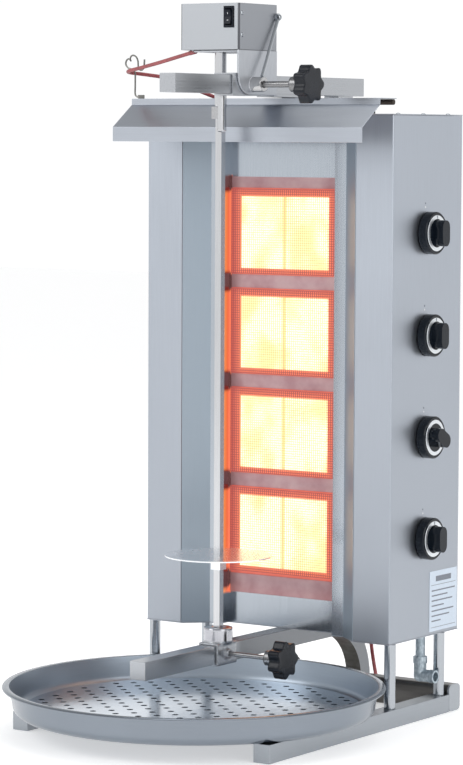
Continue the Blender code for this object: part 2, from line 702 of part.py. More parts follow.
def rocker_switch():
    y0 = BOX_Y[0]
    x, z = SWITCH_X, SWITCH_Z
    housing = box("switch_housing", (x - 0.0080, y0 - 0.001, z - 0.0160), (x + 0.0080, y0 + 0.023,
                                                                       z + 0.0160))
    join(housing, box("switch_bezel", (x - 0.0092, y0 - 0.0024, z - 0.0172),
                      (x + 0.0092, y0 - GAP, z + 0.0172), CUTTERS))
    cut(housing, box("rocker_pocket", (x - 0.0062, y0 - 0.01, z - 0.0130),
                     (x + 0.0062, y0 + 0.0165, z + 0.0130), CUTTERS))
    finish(housing, BLACK_GLOSS)

    pivot = ROCKER_PIVOT_Y
    tip = 0.0113
    outline = ([(pivot - 0.0095, z + tip), (pivot - 0.0080, z), (pivot - 0.0095, z - tip),
                (pivot - 0.0010, z - tip)] + arc((pivot, z), 0.0090, -60, 60, 6)
               + [(pivot - 0.0010, z + tip)])
    rocker = prism("switch_rocker", outline, "YZ", x - 0.0058, x + 0.0058)
    finish(rocker, BLACK_GLOSS, (x, pivot, z))


def brace_rod():
    top = Vector((0.0612, BOX_Y[1] - 0.0035, 1.1550))
    low = Vector((0.0680, UPPER_SCREW[0] + 0.008, 1.0600))
    brace = rod("brace_rod", low, top, 0.0026, segments=16)
    eye = Vector((0.0575, top.y, top.z + 0.0015))
    join(brace, rod("brace_eye", eye, eye + Vector((0.0048, 0, 0)), 0.0062, CUTTERS, 20))
    finish(brace, BRIGHT_STEEL)


def star_outline(y, z):
    """Seven rounded lobes, seen along the screw."""
    points = []
    for i in range(56):
        angle = 2 * math.pi * i / 56
        radius = STAR_R - 0.0034 * (1 - math.cos(7 * angle))
        points.append((y + radius * math.cos(angle), z + radius * math.sin(angle)))
    return points


def clamp_knob(name, tip, hub, screw_r, centre):
    """A star knob on its clamp screw. The screw runs from tip to the hub along +X."""
    y, z = centre
    star = prism(name, star_outline(y, z), "YZ", hub + 0.020, hub + 0.040)
    profile = [(0, hub + 0.024), (0.0165, hub + 0.024), (0.0125, hub + 0.014), (0.0125, hub), (0, hub)]
    join(star, turned(name + "_hub", profile, 28, (0, y, z), "X", CUTTERS))
    join(star, rod(name + "_screw", (tip, y, z), (hub + 0.005, y, z), screw_r, CUTTERS, 20))
    return finish(star, BLACK_PLASTIC)


# ---------------------------------------------------------------- lower carriage, spit and pan

def lower_sleeve():
    """The sleeve on the lower arm, with the bearing cup for the spit and the clamp's nut."""
    z0 = ARM_TOP - TUBE
    body = sleeve("lower_sleeve", 0, z0, FRONT - 0.168, FRONT - 0.112)
    top = ARM_TOP + 0.003
    join(body, rod("bearing_cup", (0, SPIT_Y, top - 0.001), (0, SPIT_Y, 0.1625), 0.0235, CUTTERS, 32))
    cut(body, rod("cup_bore", (0, SPIT_Y, 0.1425), (0, SPIT_Y, 0.18), 0.0098, CUTTERS))
    y, z = LOWER_SCREW
    join(body, rod("clamp_nut", (0.017, y, z), (0.0250, y, z), 0.0080, CUTTERS, 6))
    cut(body, rod("lower_screw_hole", (0.005, y, z), (0.04, y, z), 0.0046, CUTTERS, 16))
    finish(body, STEEL)


def spit():
    half = SPIT_SIDE / 2
    bar = box("spit", (-half, SPIT_Y - half, 0.1445), (half, SPIT_Y + half, SHAFT_BOTTOM - 0.0016))
    join(bar, box("spit_tongue", (-half, SPIT_Y - half, SHAFT_BOTTOM - 0.006),
                  (-HALF_GAP, SPIT_Y + half, SPIT_TOP), CUTTERS))
    join(bar, box("spit_head", (-0.0125, SPIT_Y - 0.008, SPIT_TOP - 0.020),
                  (-HALF_GAP, SPIT_Y + 0.008, SPIT_TOP), CUTTERS))
    finish(bar, BRIGHT_STEEL, (0, SPIT_Y, 0.1445))


def spit_disc():
    z = 0.2795
    hole = SPIT_SIDE / 2 + 0.0005
    disc = rod("spit_disc", (0, SPIT_Y, z), (0, SPIT_Y, z + 0.002), 0.088, segments=48)
    join(disc, box("disc_hub", (-0.009, SPIT_Y - 0.009, z - 0.022), (0.009, SPIT_Y + 0.009, z + 0.001),
                   CUTTERS))
    cut(disc, box("disc_hole", (-hole, SPIT_Y - hole, z - 0.05), (hole, SPIT_Y + hole, z + 0.05),
                  CUTTERS))
    finish(disc, BRIGHT_STEEL, (0, SPIT_Y, z))


PAN_FLOOR = 0.0303


def drip_pan():
    wall = 0.0012
    base = PAN_FLOOR
    corner = 0.016
    wall_low_r = PAN_R - 0.0165
    outer = [(wall_low_r - corner + corner * math.cos(a), base + corner + corner * math.sin(a))
             for a in (math.radians(-15 * k) for k in range(7))]
    inner = [(wall_low_r - corner + (corner - wall) * math.cos(a),
              base + corner + (corner - wall) * math.sin(a))
             for a in (math.radians(-90 + 15 * k) for k in range(7))]
    rim = [(PAN_R - 0.0105, PAN_RIM_Z), (PAN_R - 0.0015, PAN_RIM_Z), (PAN_R, PAN_RIM_Z - 0.0015),
           (PAN_R - 0.0004, PAN_RIM_Z - 0.0032), (PAN_R - 0.0104, PAN_RIM_Z - 0.0016)]
    profile = rim + outer + [(0, base), (0, base + wall)] + inner
    pan = turned("drip_pan", profile, 72, (0, PAN_Y, 0))
    finish(pan, STEEL)


def perforated_plate():
    radius = 0.2760
    floor = PAN_FLOOR + 0.0012 + GAP
    top = floor + 0.0085
    profile = [(0, top), (radius - 0.001, top), (radius, top - 0.001), (radius, floor),
               (radius - 0.0012, floor), (radius - 0.0012, top - 0.0012), (0, top - 0.0012)]
    finish(turned("perforated_plate", profile, 64, (0, PAN_Y, 0)), STEEL)


# ---------------------------------------------------------------- motor lead

# The lead's route: out of the gland, round the hook, over the lid and down the back to the floor.
CORD_ROUTE = [
    (-0.0563, -0.1469, 1.0975), (-0.0720, -0.1388, 1.0953), (-0.0960, -0.1266, 1.0920),
    (-0.1280, -0.1103, 1.0875), (-0.1600, -0.0940, 1.0832), (-0.1900, -0.0787, 1.0795),
    (-0.2140, -0.0665, 1.0765), (-0.2350, -0.0570, 1.0740), (-0.2520, -0.0460, 1.0718),
    (-0.2610, -0.0290, 1.0702), (-0.2550, -0.0110, 1.0685), (-0.2390, 0.0000, 1.0660),
    (-0.2150, 0.0090, 1.0620), (-0.1900, 0.0240, 1.0520), (-0.1680, 0.0430, 1.0400),
    (-0.1470, 0.0610, 1.0290), (-0.1270, 0.0770, 1.0180), (-0.1060, 0.0960, 1.0095),
    (-0.0850, 0.1180, 1.0056), (-0.0600, 0.1440, 1.0050), (-0.0350, 0.1700, 1.0050),
    (-0.0130, 0.1980, 1.0066), (0.0000, 0.2190, 1.0080), (0.0065, 0.2365, 1.0040),
    (0.0102, 0.2480, 0.9900), (0.0125, 0.2530, 0.9740), (0.0138, 0.2540, 0.9560),
    (0.0150, 0.2520, 0.8600), (0.0200, 0.2480, 0.6000), (0.0310, 0.2490, 0.3200),
    (0.0430, 0.2510, 0.1800), (0.0490, 0.2540, 0.1150), (0.0500, 0.2620, 0.0720),
    (0.0470, 0.2760, 0.0400), (0.0390, 0.2960, 0.0170), (0.0260, 0.3140, 0.0068),
    (0.0080, 0.3290, 0.0038), (-0.0140, 0.3380, 0.0035), (-0.0450, 0.3390, 0.0035),
    (-0.0726, 0.3376, 0.0035),
]


def motor_lead():
    x, y, z = CORD_ROUTE[0]
    gland = rod("cord_gland", (x + 0.0190, FRONT + y - 0.0098, z + 0.0027),
                (x + 0.0007, FRONT + y - 0.00036, z + 0.0001), 0.0041, segments=20, end_radius=0.0036)
    finish(gland, RED_RUBBER)
    points = smooth_curve([(x, FRONT + a, z) for x, a, z in CORD_ROUTE], 0.0225)
    tube("motor_cord", points, CORD_R, 2, RED_RUBBER)
    inner, outer = COIL_R
    low, high = GAP, GAP + COIL_H
    ring = [(inner + 0.002, high), (outer - 0.002, high), (outer, high - 0.003), (outer, low + 0.003),
            (outer - 0.002, low), (inner + 0.002, low), (inner, low + 0.003), (inner, high - 0.003)]
    finish(turned("cord_coil", ring, 40, (*COIL_CENTRE, 0)), RED_RUBBER)


def mains_plug():
    """A round moulded plug with two pins, lying behind the crossbar."""
    x = PLUG_START
    y = COIL_CENTRE[1] + COIL_R[1] - CORD_R
    z = 0.0193
    profile = [(0, 0.066), (0.0165, 0.066), (0.0185, 0.062), (0.0185, 0.046), (0.0150, 0.036),
               (0.0090, 0.030), (0.0070, 0.028), (0.0042, 0), (0, 0)]
    plug = turned("mains_plug", profile, 28, (x, y, z), "-X")
    for side in (-1, 1):
        join(plug, rod("plug_pin_%d" % side, (x - 0.060, y + side * 0.0095, z),
                       (x - 0.085, y + side * 0.0095, z), 0.0024, CUTTERS, 12))
    plug.data.materials.append(material(plug.name, BLACK_PLASTIC))


def build():
    base_foot("base_foot_left", -1)
    base_foot("base_foot_right", 1)
    rear_crossbar()
    columns()
    lower_arm()
    bottom_plate()
    side_panel("side_panel_left", -1)
    side_panel("side_panel_right", 1)
    rear_panel()
    top_cover()
    front_reflector()
    burner_rack()
    hood()
    hood_bar()
    upper_rail()
    cord_hook()
    for i, (burner_z, knob_z, turn) in enumerate(zip(BURNER_Z, KNOB_Z, KNOB_TURN)):
        burner(i + 1, burner_z)
        gas_valve(i + 1, knob_z)
        gas_knob(i + 1, knob_z, math.radians(turn))
    gas_pipes()
    upper_sleeve()
    motor_bracket()
    motor_box()
    gear_motor()
    drive_shaft()
    rocker_switch()
    brace_rod()
    clamp_knob("upper_clamp_knob", RAIL_X + 0.0158, 0.132, 0.005, UPPER_SCREW)
    lower_sleeve()
    clamp_knob("lower_clamp_knob", 0.0155, 0.097, 0.004, LOWER_SCREW)
    spit()
    spit_disc()
    drip_pan()
    perforated_plate()
    motor_lead()
    mains_plug()


build()
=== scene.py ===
"""Looks for the vertical rotisserie broiler: materials, wire guards, perforated plate, dials, screws,
the motor lead, the floor, the light and the camera. Metres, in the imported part's own frame."""

import math
from collections import namedtuple

import bmesh
import bpy
from mathutils import Matrix, Vector


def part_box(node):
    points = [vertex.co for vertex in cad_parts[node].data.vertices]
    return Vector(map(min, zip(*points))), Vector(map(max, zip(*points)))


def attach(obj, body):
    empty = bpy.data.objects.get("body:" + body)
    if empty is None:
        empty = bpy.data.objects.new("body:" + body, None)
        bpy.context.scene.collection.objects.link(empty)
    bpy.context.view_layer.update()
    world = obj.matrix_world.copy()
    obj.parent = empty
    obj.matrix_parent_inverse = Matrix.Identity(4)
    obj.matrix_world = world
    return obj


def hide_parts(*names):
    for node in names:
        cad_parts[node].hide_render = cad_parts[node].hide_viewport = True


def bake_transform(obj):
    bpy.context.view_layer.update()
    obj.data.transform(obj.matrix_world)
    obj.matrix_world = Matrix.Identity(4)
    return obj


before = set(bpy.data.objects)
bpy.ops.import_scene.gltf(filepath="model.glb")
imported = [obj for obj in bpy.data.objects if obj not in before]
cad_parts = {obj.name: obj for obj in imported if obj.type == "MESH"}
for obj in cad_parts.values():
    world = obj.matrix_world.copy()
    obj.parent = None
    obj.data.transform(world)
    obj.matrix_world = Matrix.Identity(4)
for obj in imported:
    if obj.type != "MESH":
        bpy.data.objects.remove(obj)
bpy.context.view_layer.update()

# Places that several pieces share, from the frame.
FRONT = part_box("top_cover")[0].y
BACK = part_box("top_cover")[1].y
LID_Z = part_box("top_cover")[1].z
SIDE_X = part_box("side_panel_right")[1].x
BURNERS = (1, 2, 3, 4)


# ---------------------------------------------------------------- camera

LENS = 149.0
SHIFT = (0.0076, -0.0086)
AZIMUTH, ELEVATION, ROLL = (math.radians(a) for a in (34.21, 4.33, 0.26))
TARGET = Vector((-0.08205, FRONT, 0.56246))
DISTANCE = 5.31475


def camera():
    """A long lens, in front of the machine and to its right."""
    data = bpy.data.cameras.new("camera")
    data.sensor_width = 36
    data.lens = LENS
    data.shift_x, data.shift_y = SHIFT
    data.clip_end = 50
    obj = bpy.data.objects.new("camera", data)
    back = Vector((math.sin(AZIMUTH) * math.cos(ELEVATION), -math.cos(AZIMUTH) * math.cos(ELEVATION),
                   math.sin(ELEVATION)))
    obj.location = TARGET + back * DISTANCE
    turn = (-back).to_track_quat("-Z", "Y").to_matrix().to_4x4()
    obj.rotation_mode = "QUATERNION"
    obj.rotation_quaternion = (turn @ Matrix.Rotation(ROLL, 4, "Z")).to_quaternion()
    bpy.context.scene.collection.objects.link(obj)
    bpy.context.scene.camera = obj


# ---------------------------------------------------------------- material helpers

NOISE_SPAN = (0.3, 0.7)         # most of a noise pattern's values lie between these


def shade(colour, factor):
    return tuple(c * factor for c in colour)


class Graph:
    """A tree of shader nodes, with short ways to add the nodes that the looks use."""

    def __init__(self, tree):
        self.tree = tree

    def node(self, kind, **settings):
        node = self.tree.nodes.new("ShaderNode" + kind)
        for name, value in settings.items():
            setattr(node, name, value)
        return node

    def link(self, output, node_input):
        self.tree.links.new(output, node_input)

    def split(self, vector):
        """The X, Y and Z of a vector."""
        node = self.node("SeparateXYZ")
        self.link(vector, node.inputs[0])
        return node.outputs

    def maths(self, operation, a, b=0.0):
        node = self.node("Math", operation=operation)
        for socket, value in zip(node.inputs, (a, b)):
            if isinstance(value, (int, float)):
                socket.default_value = value
            else:
                self.link(value, socket)
        return node.outputs[0]

    def product(self, first, *others):
        """The values multiplied together, each a number or a socket after the first."""
        for factor in others:
            first = self.maths("MULTIPLY", first, factor)
        return first

    def ranged(self, value, low, high, out_low=0.0, out_high=1.0, smooth=False):
        """The value's place between low and high, held between out_low and out_high."""
        node = self.node("MapRange", interpolation_type="SMOOTHSTEP" if smooth else "LINEAR")
        for name, number in (("From Min", low), ("From Max", high), ("To Min", out_low),
                             ("To Max", out_high)):
            node.inputs[name].default_value = number
        self.link(value, node.inputs["Value"])
        return node.outputs["Result"]

    def mixed(self, share, a, b):
        """A colour between a and b, which are colours or sockets."""
        node = self.node("Mix", data_type="RGBA")
        first, second = node.inputs[6], node.inputs[7]      # the node's two colour sockets
        self.link(share, node.inputs[0])
        for socket, value in ((first, a), (second, b)):
            if isinstance(value, tuple):
                socket.default_value = (*value, 1.0)
            else:
                self.link(value, socket)
        return node.outputs[2]


class Look(Graph):
    """A Principled material under construction."""

    def __init__(self, name, colour, roughness, metallic=0.0):
        self.material = bpy.data.materials.new(name)
        self.material.use_nodes = True
        super().__init__(self.material.node_tree)
        self.shader = self.tree.nodes["Principled BSDF"]
        self.set("Base Color", (*colour, 1.0))
        self.set("Roughness", roughness)
        self.set("Metallic", metallic)

    def set(self, socket, value):
        self.shader.inputs[socket].default_value = value

    def feed(self, socket, output):
        self.link(output, self.shader.inputs[socket])

    def coords(self, scale=(1, 1, 1)):
        """The surface's place in the piece's own frame, in metres, times the scale."""
        place = self.node("TexCoord")
        mapping = self.node("Mapping")
        mapping.inputs["Scale"].default_value = scale
        self.link(place.outputs["Object"], mapping.inputs["Vector"])
        return mapping.outputs["Vector"]

    def place(self):
        """The X, Y and Z of the surface, in metres."""
        return self.split(self.coords())

    def noise(self, scale, detail=3.0):
        """Soft random patches. The scale is their frequency, along X, Y and Z or the same in all."""
        node = self.node("TexNoise")
        node.inputs["Scale"].default_value = 1.0
        node.inputs["Detail"].default_value = detail
        node.inputs["Roughness"].default_value = 0.55
        self.link(self.coords(scale if isinstance(scale, tuple) else (scale,) * 3), node.inputs["Vector"])
        return node.outputs["Fac"]

    def cells(self, scale):
        """The distance to the nearest of many scattered points."""
        node = self.node("TexVoronoi")
        node.inputs["Scale"].default_value = 1.0
        self.link(self.coords(scale), node.inputs["Vector"])
        return node.outputs["Distance"]

    def toned(self, pattern, colour, dark, light):
        """The colour, darkened and lightened by the pattern."""
        return self.mixed(self.ranged(pattern, *NOISE_SPAN), shade(colour, dark), shade(colour, light))

    def bump(self, height, strength, distance):
        node = self.node("Bump")
        node.inputs["Strength"].default_value = strength
        node.inputs["Distance"].default_value = distance
        self.link(height, node.inputs["Height"])
        self.feed("Normal", node.outputs["Normal"])


# ---------------------------------------------------------------- looks

# The scratches' frequency along X, Y and Z, low along their length.
SHEET_X = (14, 650, 650)
SHEET_Z = (650, 650, 14)
TUBE_X = (5, 400, 400)
TUBE_Y = (400, 5, 400)
ROD_Z = (900, 900, 20)
SHAFT_Z = (900, 900, 40)
TURNED = (40, 40, 900)
SPUN = (30, 30, 900)

LOW_SHADE_Z = (0.12, 0.75)         # tall sheets get a painted shade, darker from the upper height to the lower
GLOW_HALF = (0.0855, 0.0590)    # the bright part of a burner's tiles, from its middle
STEP_X = 0.1136                 # outer face of the steps beside the burners
STRIP_X = 0.1340                # where the reflector's slanted wings start
STAR_LENGTH = 0.0275            # of a star knob's black part
FINE = 0.0001                   # height of fine scratches
SEAM = 0.0002                   # width of the change between two finishes


def brushed(name, colour, roughness, grain, spread=0.08, depth=0.05, foot=1.0):
    """Satin steel with scratches along one direction.
    The foot is how dark a painted shade makes a tall panel towards its lower end."""
    look = Look(name, colour, roughness, 1.0)
    fine = look.noise(grain, 2.0)
    cloud = look.noise((5, 5, 3.5), 2.0)
    both = look.maths("ADD", look.product(fine, 0.5), look.product(cloud, 0.5))
    steel = look.toned(both, colour, 0.94, 1.05)
    if foot < 1.0:
        # painted shade: darker towards the lower end of a tall sheet
        steel = look.mixed(look.ranged(look.place()["Z"], *LOW_SHADE_Z), shade(colour, foot), steel)
    look.feed("Base Color", steel)
    look.feed("Roughness", look.ranged(both, *NOISE_SPAN, roughness - spread / 2, roughness + spread))
    look.bump(fine, depth, FINE)
    return look


def reflector_steel():
    """Polished sheet with duller wings, which also get a darker blue-grey copy of the steel, a painted
    shade. The steps beside the burners carry a painted reddish reflection of the burners and a painted glow
    near them.
    """
    colour = (0.46, 0.50, 0.55)
    look = Look("reflector_steel", colour, 0.15, 1.0)
    fine = look.noise(SHEET_Z, 2.0)
    x, y, z = look.place()
    x = look.maths("ABSOLUTE", x)
    low, high = (corner.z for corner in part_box("burner_rack"))
    step = look.product(look.ranged(x, STEP_X, STEP_X + 0.0003, 1.0, 0.0),
                        look.ranged(x, STEP_X - 0.0060, STEP_X - 0.0057),
                        look.ranged(y, FRONT + 0.0318, FRONT + 0.0322),
                        look.ranged(z, low, low + 0.004),
                        look.ranged(z, high, high - 0.004))
    wing = look.ranged(x, STRIP_X, STRIP_X + 0.0004)
    look.feed("Roughness", look.maths("ADD", look.ranged(fine, *NOISE_SPAN, 0.15, 0.21),
                                      look.product(wing, 0.28)))
    satin = look.toned(fine, colour, 0.97, 1.02)
    # painted shade: the sheet darker towards its lower end
    satin = look.mixed(look.ranged(z, *LOW_SHADE_Z), shade(colour, 0.86), satin)
    # the wings: a rougher finish and a darker blue-grey copy of the steel, a painted shade
    satin = look.mixed(wing, satin, (0.345, 0.405, 0.465))
    # the steps: a painted reddish reflection of the burners
    look.feed("Base Color", look.mixed(step, satin, (0.36, 0.23, 0.23)))
    look.bump(fine, 0.004, FINE)
    # painted glow on the steps near the burners, orange in front and redder further back
    depth = look.ranged(y, FRONT + 0.034, FRONT + 0.050)
    look.feed("Emission Color", look.mixed(depth, (0.90, 0.36, 0.06), (0.80, 0.16, 0.06)))
    level = look.ranged(burner_edge(look, 0.030), 0.03, 0.11, smooth=True)
    look.feed("Emission Strength", look.product(level, step, 0.85))
    return look


def moulded(name, colour, roughness, grain=900, depth=0.12, gloss=0.3):
    """Moulded plastic or rubber with a fine texture and duller, paler rubbed patches."""
    look = Look(name, colour, roughness)
    look.set("Specular IOR Level", gloss)
    patches = look.ranged(look.noise(35, 4.0), 0.45, 0.75)
    rubbed = tuple(c * 1.35 + 0.006 for c in colour)
    look.feed("Base Color", look.mixed(patches, colour, rubbed))
    look.feed("Roughness", look.ranged(patches, 0, 1, roughness, roughness + 0.16))
    look.bump(look.noise(grain, 2.0), depth, 0.00015)
    return look


# A steel with a pattern: its frequency along X, Y and Z, and how strong it is.
Finish = namedtuple("Finish", "colour roughness grain contrast")


def two_finishes(name, axis, limits, first, second):
    """Two steels on one piece: second where the coordinate is between the limits, first elsewhere."""
    look = Look(name, first.colour, first.roughness, 1.0)
    place = look.place()[axis]
    low, high = limits
    share = look.product(look.ranged(place, low - SEAM, low),
                         look.ranged(place, high, high + SEAM, 1.0, 0.0))
    tones = [look.toned(look.noise(finish.grain, 2.0), finish.colour, 1 - finish.contrast,
                        1 + finish.contrast) for finish in (first, second)]
    look.feed("Base Color", look.mixed(share, *tones))
    if first.roughness != second.roughness:
        look.feed("Roughness", look.ranged(share, 0, 1, first.roughness, second.roughness))
    look.bump(look.noise(first.grain, 2.0), 0.03, FINE)
    return look


def painted_edge_reflection(look):
    """Paints a dark reflection on a look where the surface turns at a folded edge, standing in for the dark
    parts of a room that such an edge mirrors.
    """
    facing = look.node("NewGeometry")
    flatness = look.node("VectorMath", operation="ABSOLUTE")
    look.link(facing.outputs["Normal"], flatness.inputs[0])
    x, y, z = look.split(flatness.outputs["Vector"])
    turned = look.ranged(look.maths("MAXIMUM", look.maths("MAXIMUM", x, y), z), 0.99, 0.95)
    flat = look.shader.inputs["Base Color"].links[0].from_socket
    # painted dark reflection on the turned edges
    look.feed("Base Color", look.mixed(turned, flat, (0.05, 0.05, 0.06)))
    look.feed("Metallic", look.maths("SUBTRACT", 1.0, turned))
    look.set("Specular IOR Level", 0.1)
    return look


def rounded(look, radius):
    """Evens out the normals near edges, so that narrow facets read as one round surface."""
    bevel = look.node("Bevel", samples=8)
    bevel.inputs["Radius"].default_value = radius
    relief = look.shader.inputs["Normal"].links[0].from_node
    look.link(bevel.outputs["Normal"], relief.inputs["Normal"])
    return look


def shaded_arm_tube():
    """Satin tube with painted shade: darker behind the sleeve, and dark on the inner, front-facing side of
    the bend behind the burners.
    """
    clean, bend_shade_colour = (0.46, 0.48, 0.51), (0.10, 0.098, 0.09)
    look = Look("arm_steel", clean, 0.27, 1.0)
    fine = look.noise(TUBE_Y, 2.0)
    y = look.place()["Y"]
    facing = look.split(look.node("NewGeometry").outputs["Normal"])
    # painted shade on the bend's front-facing side behind the burners, made a little uneven by a noise
    bend_shade = look.product(look.ranged(y, FRONT + 0.16, FRONT + 0.20),
                        look.ranged(facing["Y"], -0.02, -0.20),
                        look.ranged(look.noise(60), 0.25, 0.6, 0.75, 1.0))
    sleeve_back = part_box("lower_sleeve")[1].y
    # painted shade on the tube behind the sleeve
    rear_shade = look.ranged(y, sleeve_back - 0.01, sleeve_back + 0.02)
    tone = look.mixed(rear_shade, look.toned(fine, clean, 0.94, 1.05), shade(clean, 0.45))
    look.feed("Base Color", look.mixed(bend_shade, tone, bend_shade_colour))
    look.feed("Roughness", look.ranged(bend_shade, 0, 1, 0.27, 0.5))
    look.bump(fine, 0.04, FINE)
    return look


def star_knob(name, node_name):
    """A black moulded star, on a steel screw with a steel collar."""
    black = (0.010, 0.013, 0.020)
    look = Look(name, black, 0.24)
    look.set("Specular IOR Level", 0.30)
    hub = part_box(node_name)[1].x - STAR_LENGTH
    star = look.ranged(look.place()["X"], hub - 0.0001, hub + 0.0001)
    rubbed = look.ranged(look.noise(40, 4.0), 0.40, 0.75)
    plastic = look.mixed(rubbed, (0.004, 0.006, 0.011), black)
    look.feed("Base Color", look.mixed(star, (0.24, 0.24, 0.245), plastic))
    look.feed("Metallic", look.maths("SUBTRACT", 1.0, star))
    look.feed("Roughness", look.ranged(rubbed, 0, 1, 0.20, 0.34))
    look.bump(look.noise(700), 0.06, FINE)
    return look


def galvanised():
    """Zinc with its mottled crystals."""
    look = Look("galvanised", (0.42, 0.49, 0.54), 0.42, 0.85)
    tone = look.ranged(look.cells((230, 230, 160)), 0.1, 0.8)
    look.feed("Base Color", look.mixed(tone, (0.56, 0.63, 0.68), (0.33, 0.40, 0.45)))
    look.feed("Roughness", look.ranged(tone, 0, 1, 0.34, 0.55))
    look.bump(look.noise(320), 0.2, 0.0004)
    return look


def heat_tint_and_painted_glow(name, colour, hot, near, far, glow, reach):
    """Steel near the flame, with brown heat tints, and a painted glow: emission from near, beside the
    tiles, to far, at reach.
    """
    look = Look(name, colour, 0.45, 0.6)
    patches = look.ranged(look.noise(26, 4.0), 0.35, 0.7)
    look.feed("Base Color", look.mixed(patches, colour, hot))
    look.feed("Roughness", look.ranged(patches, 0, 1, 0.35, 0.6))
    look.bump(look.noise(420), 0.1, 0.0002)
    edge = burner_edge(look, reach)
    # painted glow, from near beside the tiles to far at reach
    look.feed("Emission Color", look.mixed(edge, far, near))
    before_tiles = look.ranged(look.place()["Y"], FRONT + 0.070, FRONT + 0.080, 1.0, 0.0)
    look.feed("Emission Strength", look.product(look.ranged(edge, 0, 1, glow * 0.5, glow), before_tiles))
    return look


def burner_edge(look, reach):
    """1 over a burner's bright area, falling to 0 at reach beyond it, for all four burners."""
    place = look.place()
    across = look.maths("ABSOLUTE", place["X"])
    out_x = look.maths("MAXIMUM", look.maths("SUBTRACT", across, GLOW_HALF[0]), 0.0)
    bottom, top = (sum(corner.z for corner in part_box("ceramic_tiles_%d" % i)) / 2 for i in (4, 1))
    pitch = (top - bottom) / 3
    inside = look.maths("FLOORED_MODULO", look.maths("ADD", place["Z"], pitch / 2 - bottom), pitch)
    upwards = look.maths("ABSOLUTE", look.maths("SUBTRACT", inside, pitch / 2))
    out_z = look.maths("MAXIMUM", look.maths("SUBTRACT", upwards, GLOW_HALF[1]), 0.0)
    distance = look.maths("SQRT", look.maths("ADD", look.product(out_x, out_x), look.product(out_z, out_z)))
    return look.ranged(distance, 0.0, reach, 1.0, 0.0)


def hot_ceramic():
    """Glowing perforated ceramic: white-hot, yellower in patches, orange at its joint and edges."""
    look = Look("hot_ceramic", (0.85, 0.50, 0.25), 0.85)
    edge = burner_edge(look, 0.0044)
    uneven = look.ranged(look.noise((17, 14, 12), 1.5), 0.40, 0.66, smooth=True)
    pores = look.cells((420, 1, 420))
    warm = look.mixed(uneven, (1.0, 0.74, 0.56), (1.0, 0.50, 0.24))
    warm = look.mixed(look.ranged(pores, 0.10, 0.45), (1.0, 0.42, 0.18), warm)
    off_joint = look.ranged(look.maths("ABSOLUTE", look.place()["X"]), 0.0012, 0.0042)
    warm = look.mixed(off_joint, (1.0, 0.42, 0.17), warm)
    look.feed("Emission Color", look.mixed(look.ranged(edge, 0.0, 0.9), (0.95, 0.17, 0.09), warm))
    look.feed("Emission Strength", look.product(look.ranged(uneven, 0, 1, 1.9, 1.7),
                                                look.ranged(off_joint, 0, 1, 0.50, 1.0),
                                                look.ranged(edge, 0, 1, 0.7, 1.0)))
    look.bump(pores, 0.6, 0.0006)
    return look


def rubber_cable(name):
    """A red rubber sheath, paler where it is rubbed."""
    look = Look(name, (0.30, 0.055, 0.062), 0.5)
    rubbed = look.ranged(look.noise(45, 4.0), 0.4, 0.7)
    look.feed("Base Color", look.mixed(rubbed, (0.27, 0.045, 0.052), (0.40, 0.105, 0.11)))
    look.feed("Roughness", look.ranged(rubbed, 0, 1, 0.42, 0.66))
    look.bump(look.noise(1100), 0.15, 0.0002)
    return look


def plain_pale(name, colour, roughness):
    """Film or print with a faint grain."""
    look = Look(name, colour, roughness)
    look.feed("Base Color", look.toned(look.noise(260), colour, 0.96, 1.02))
    return look


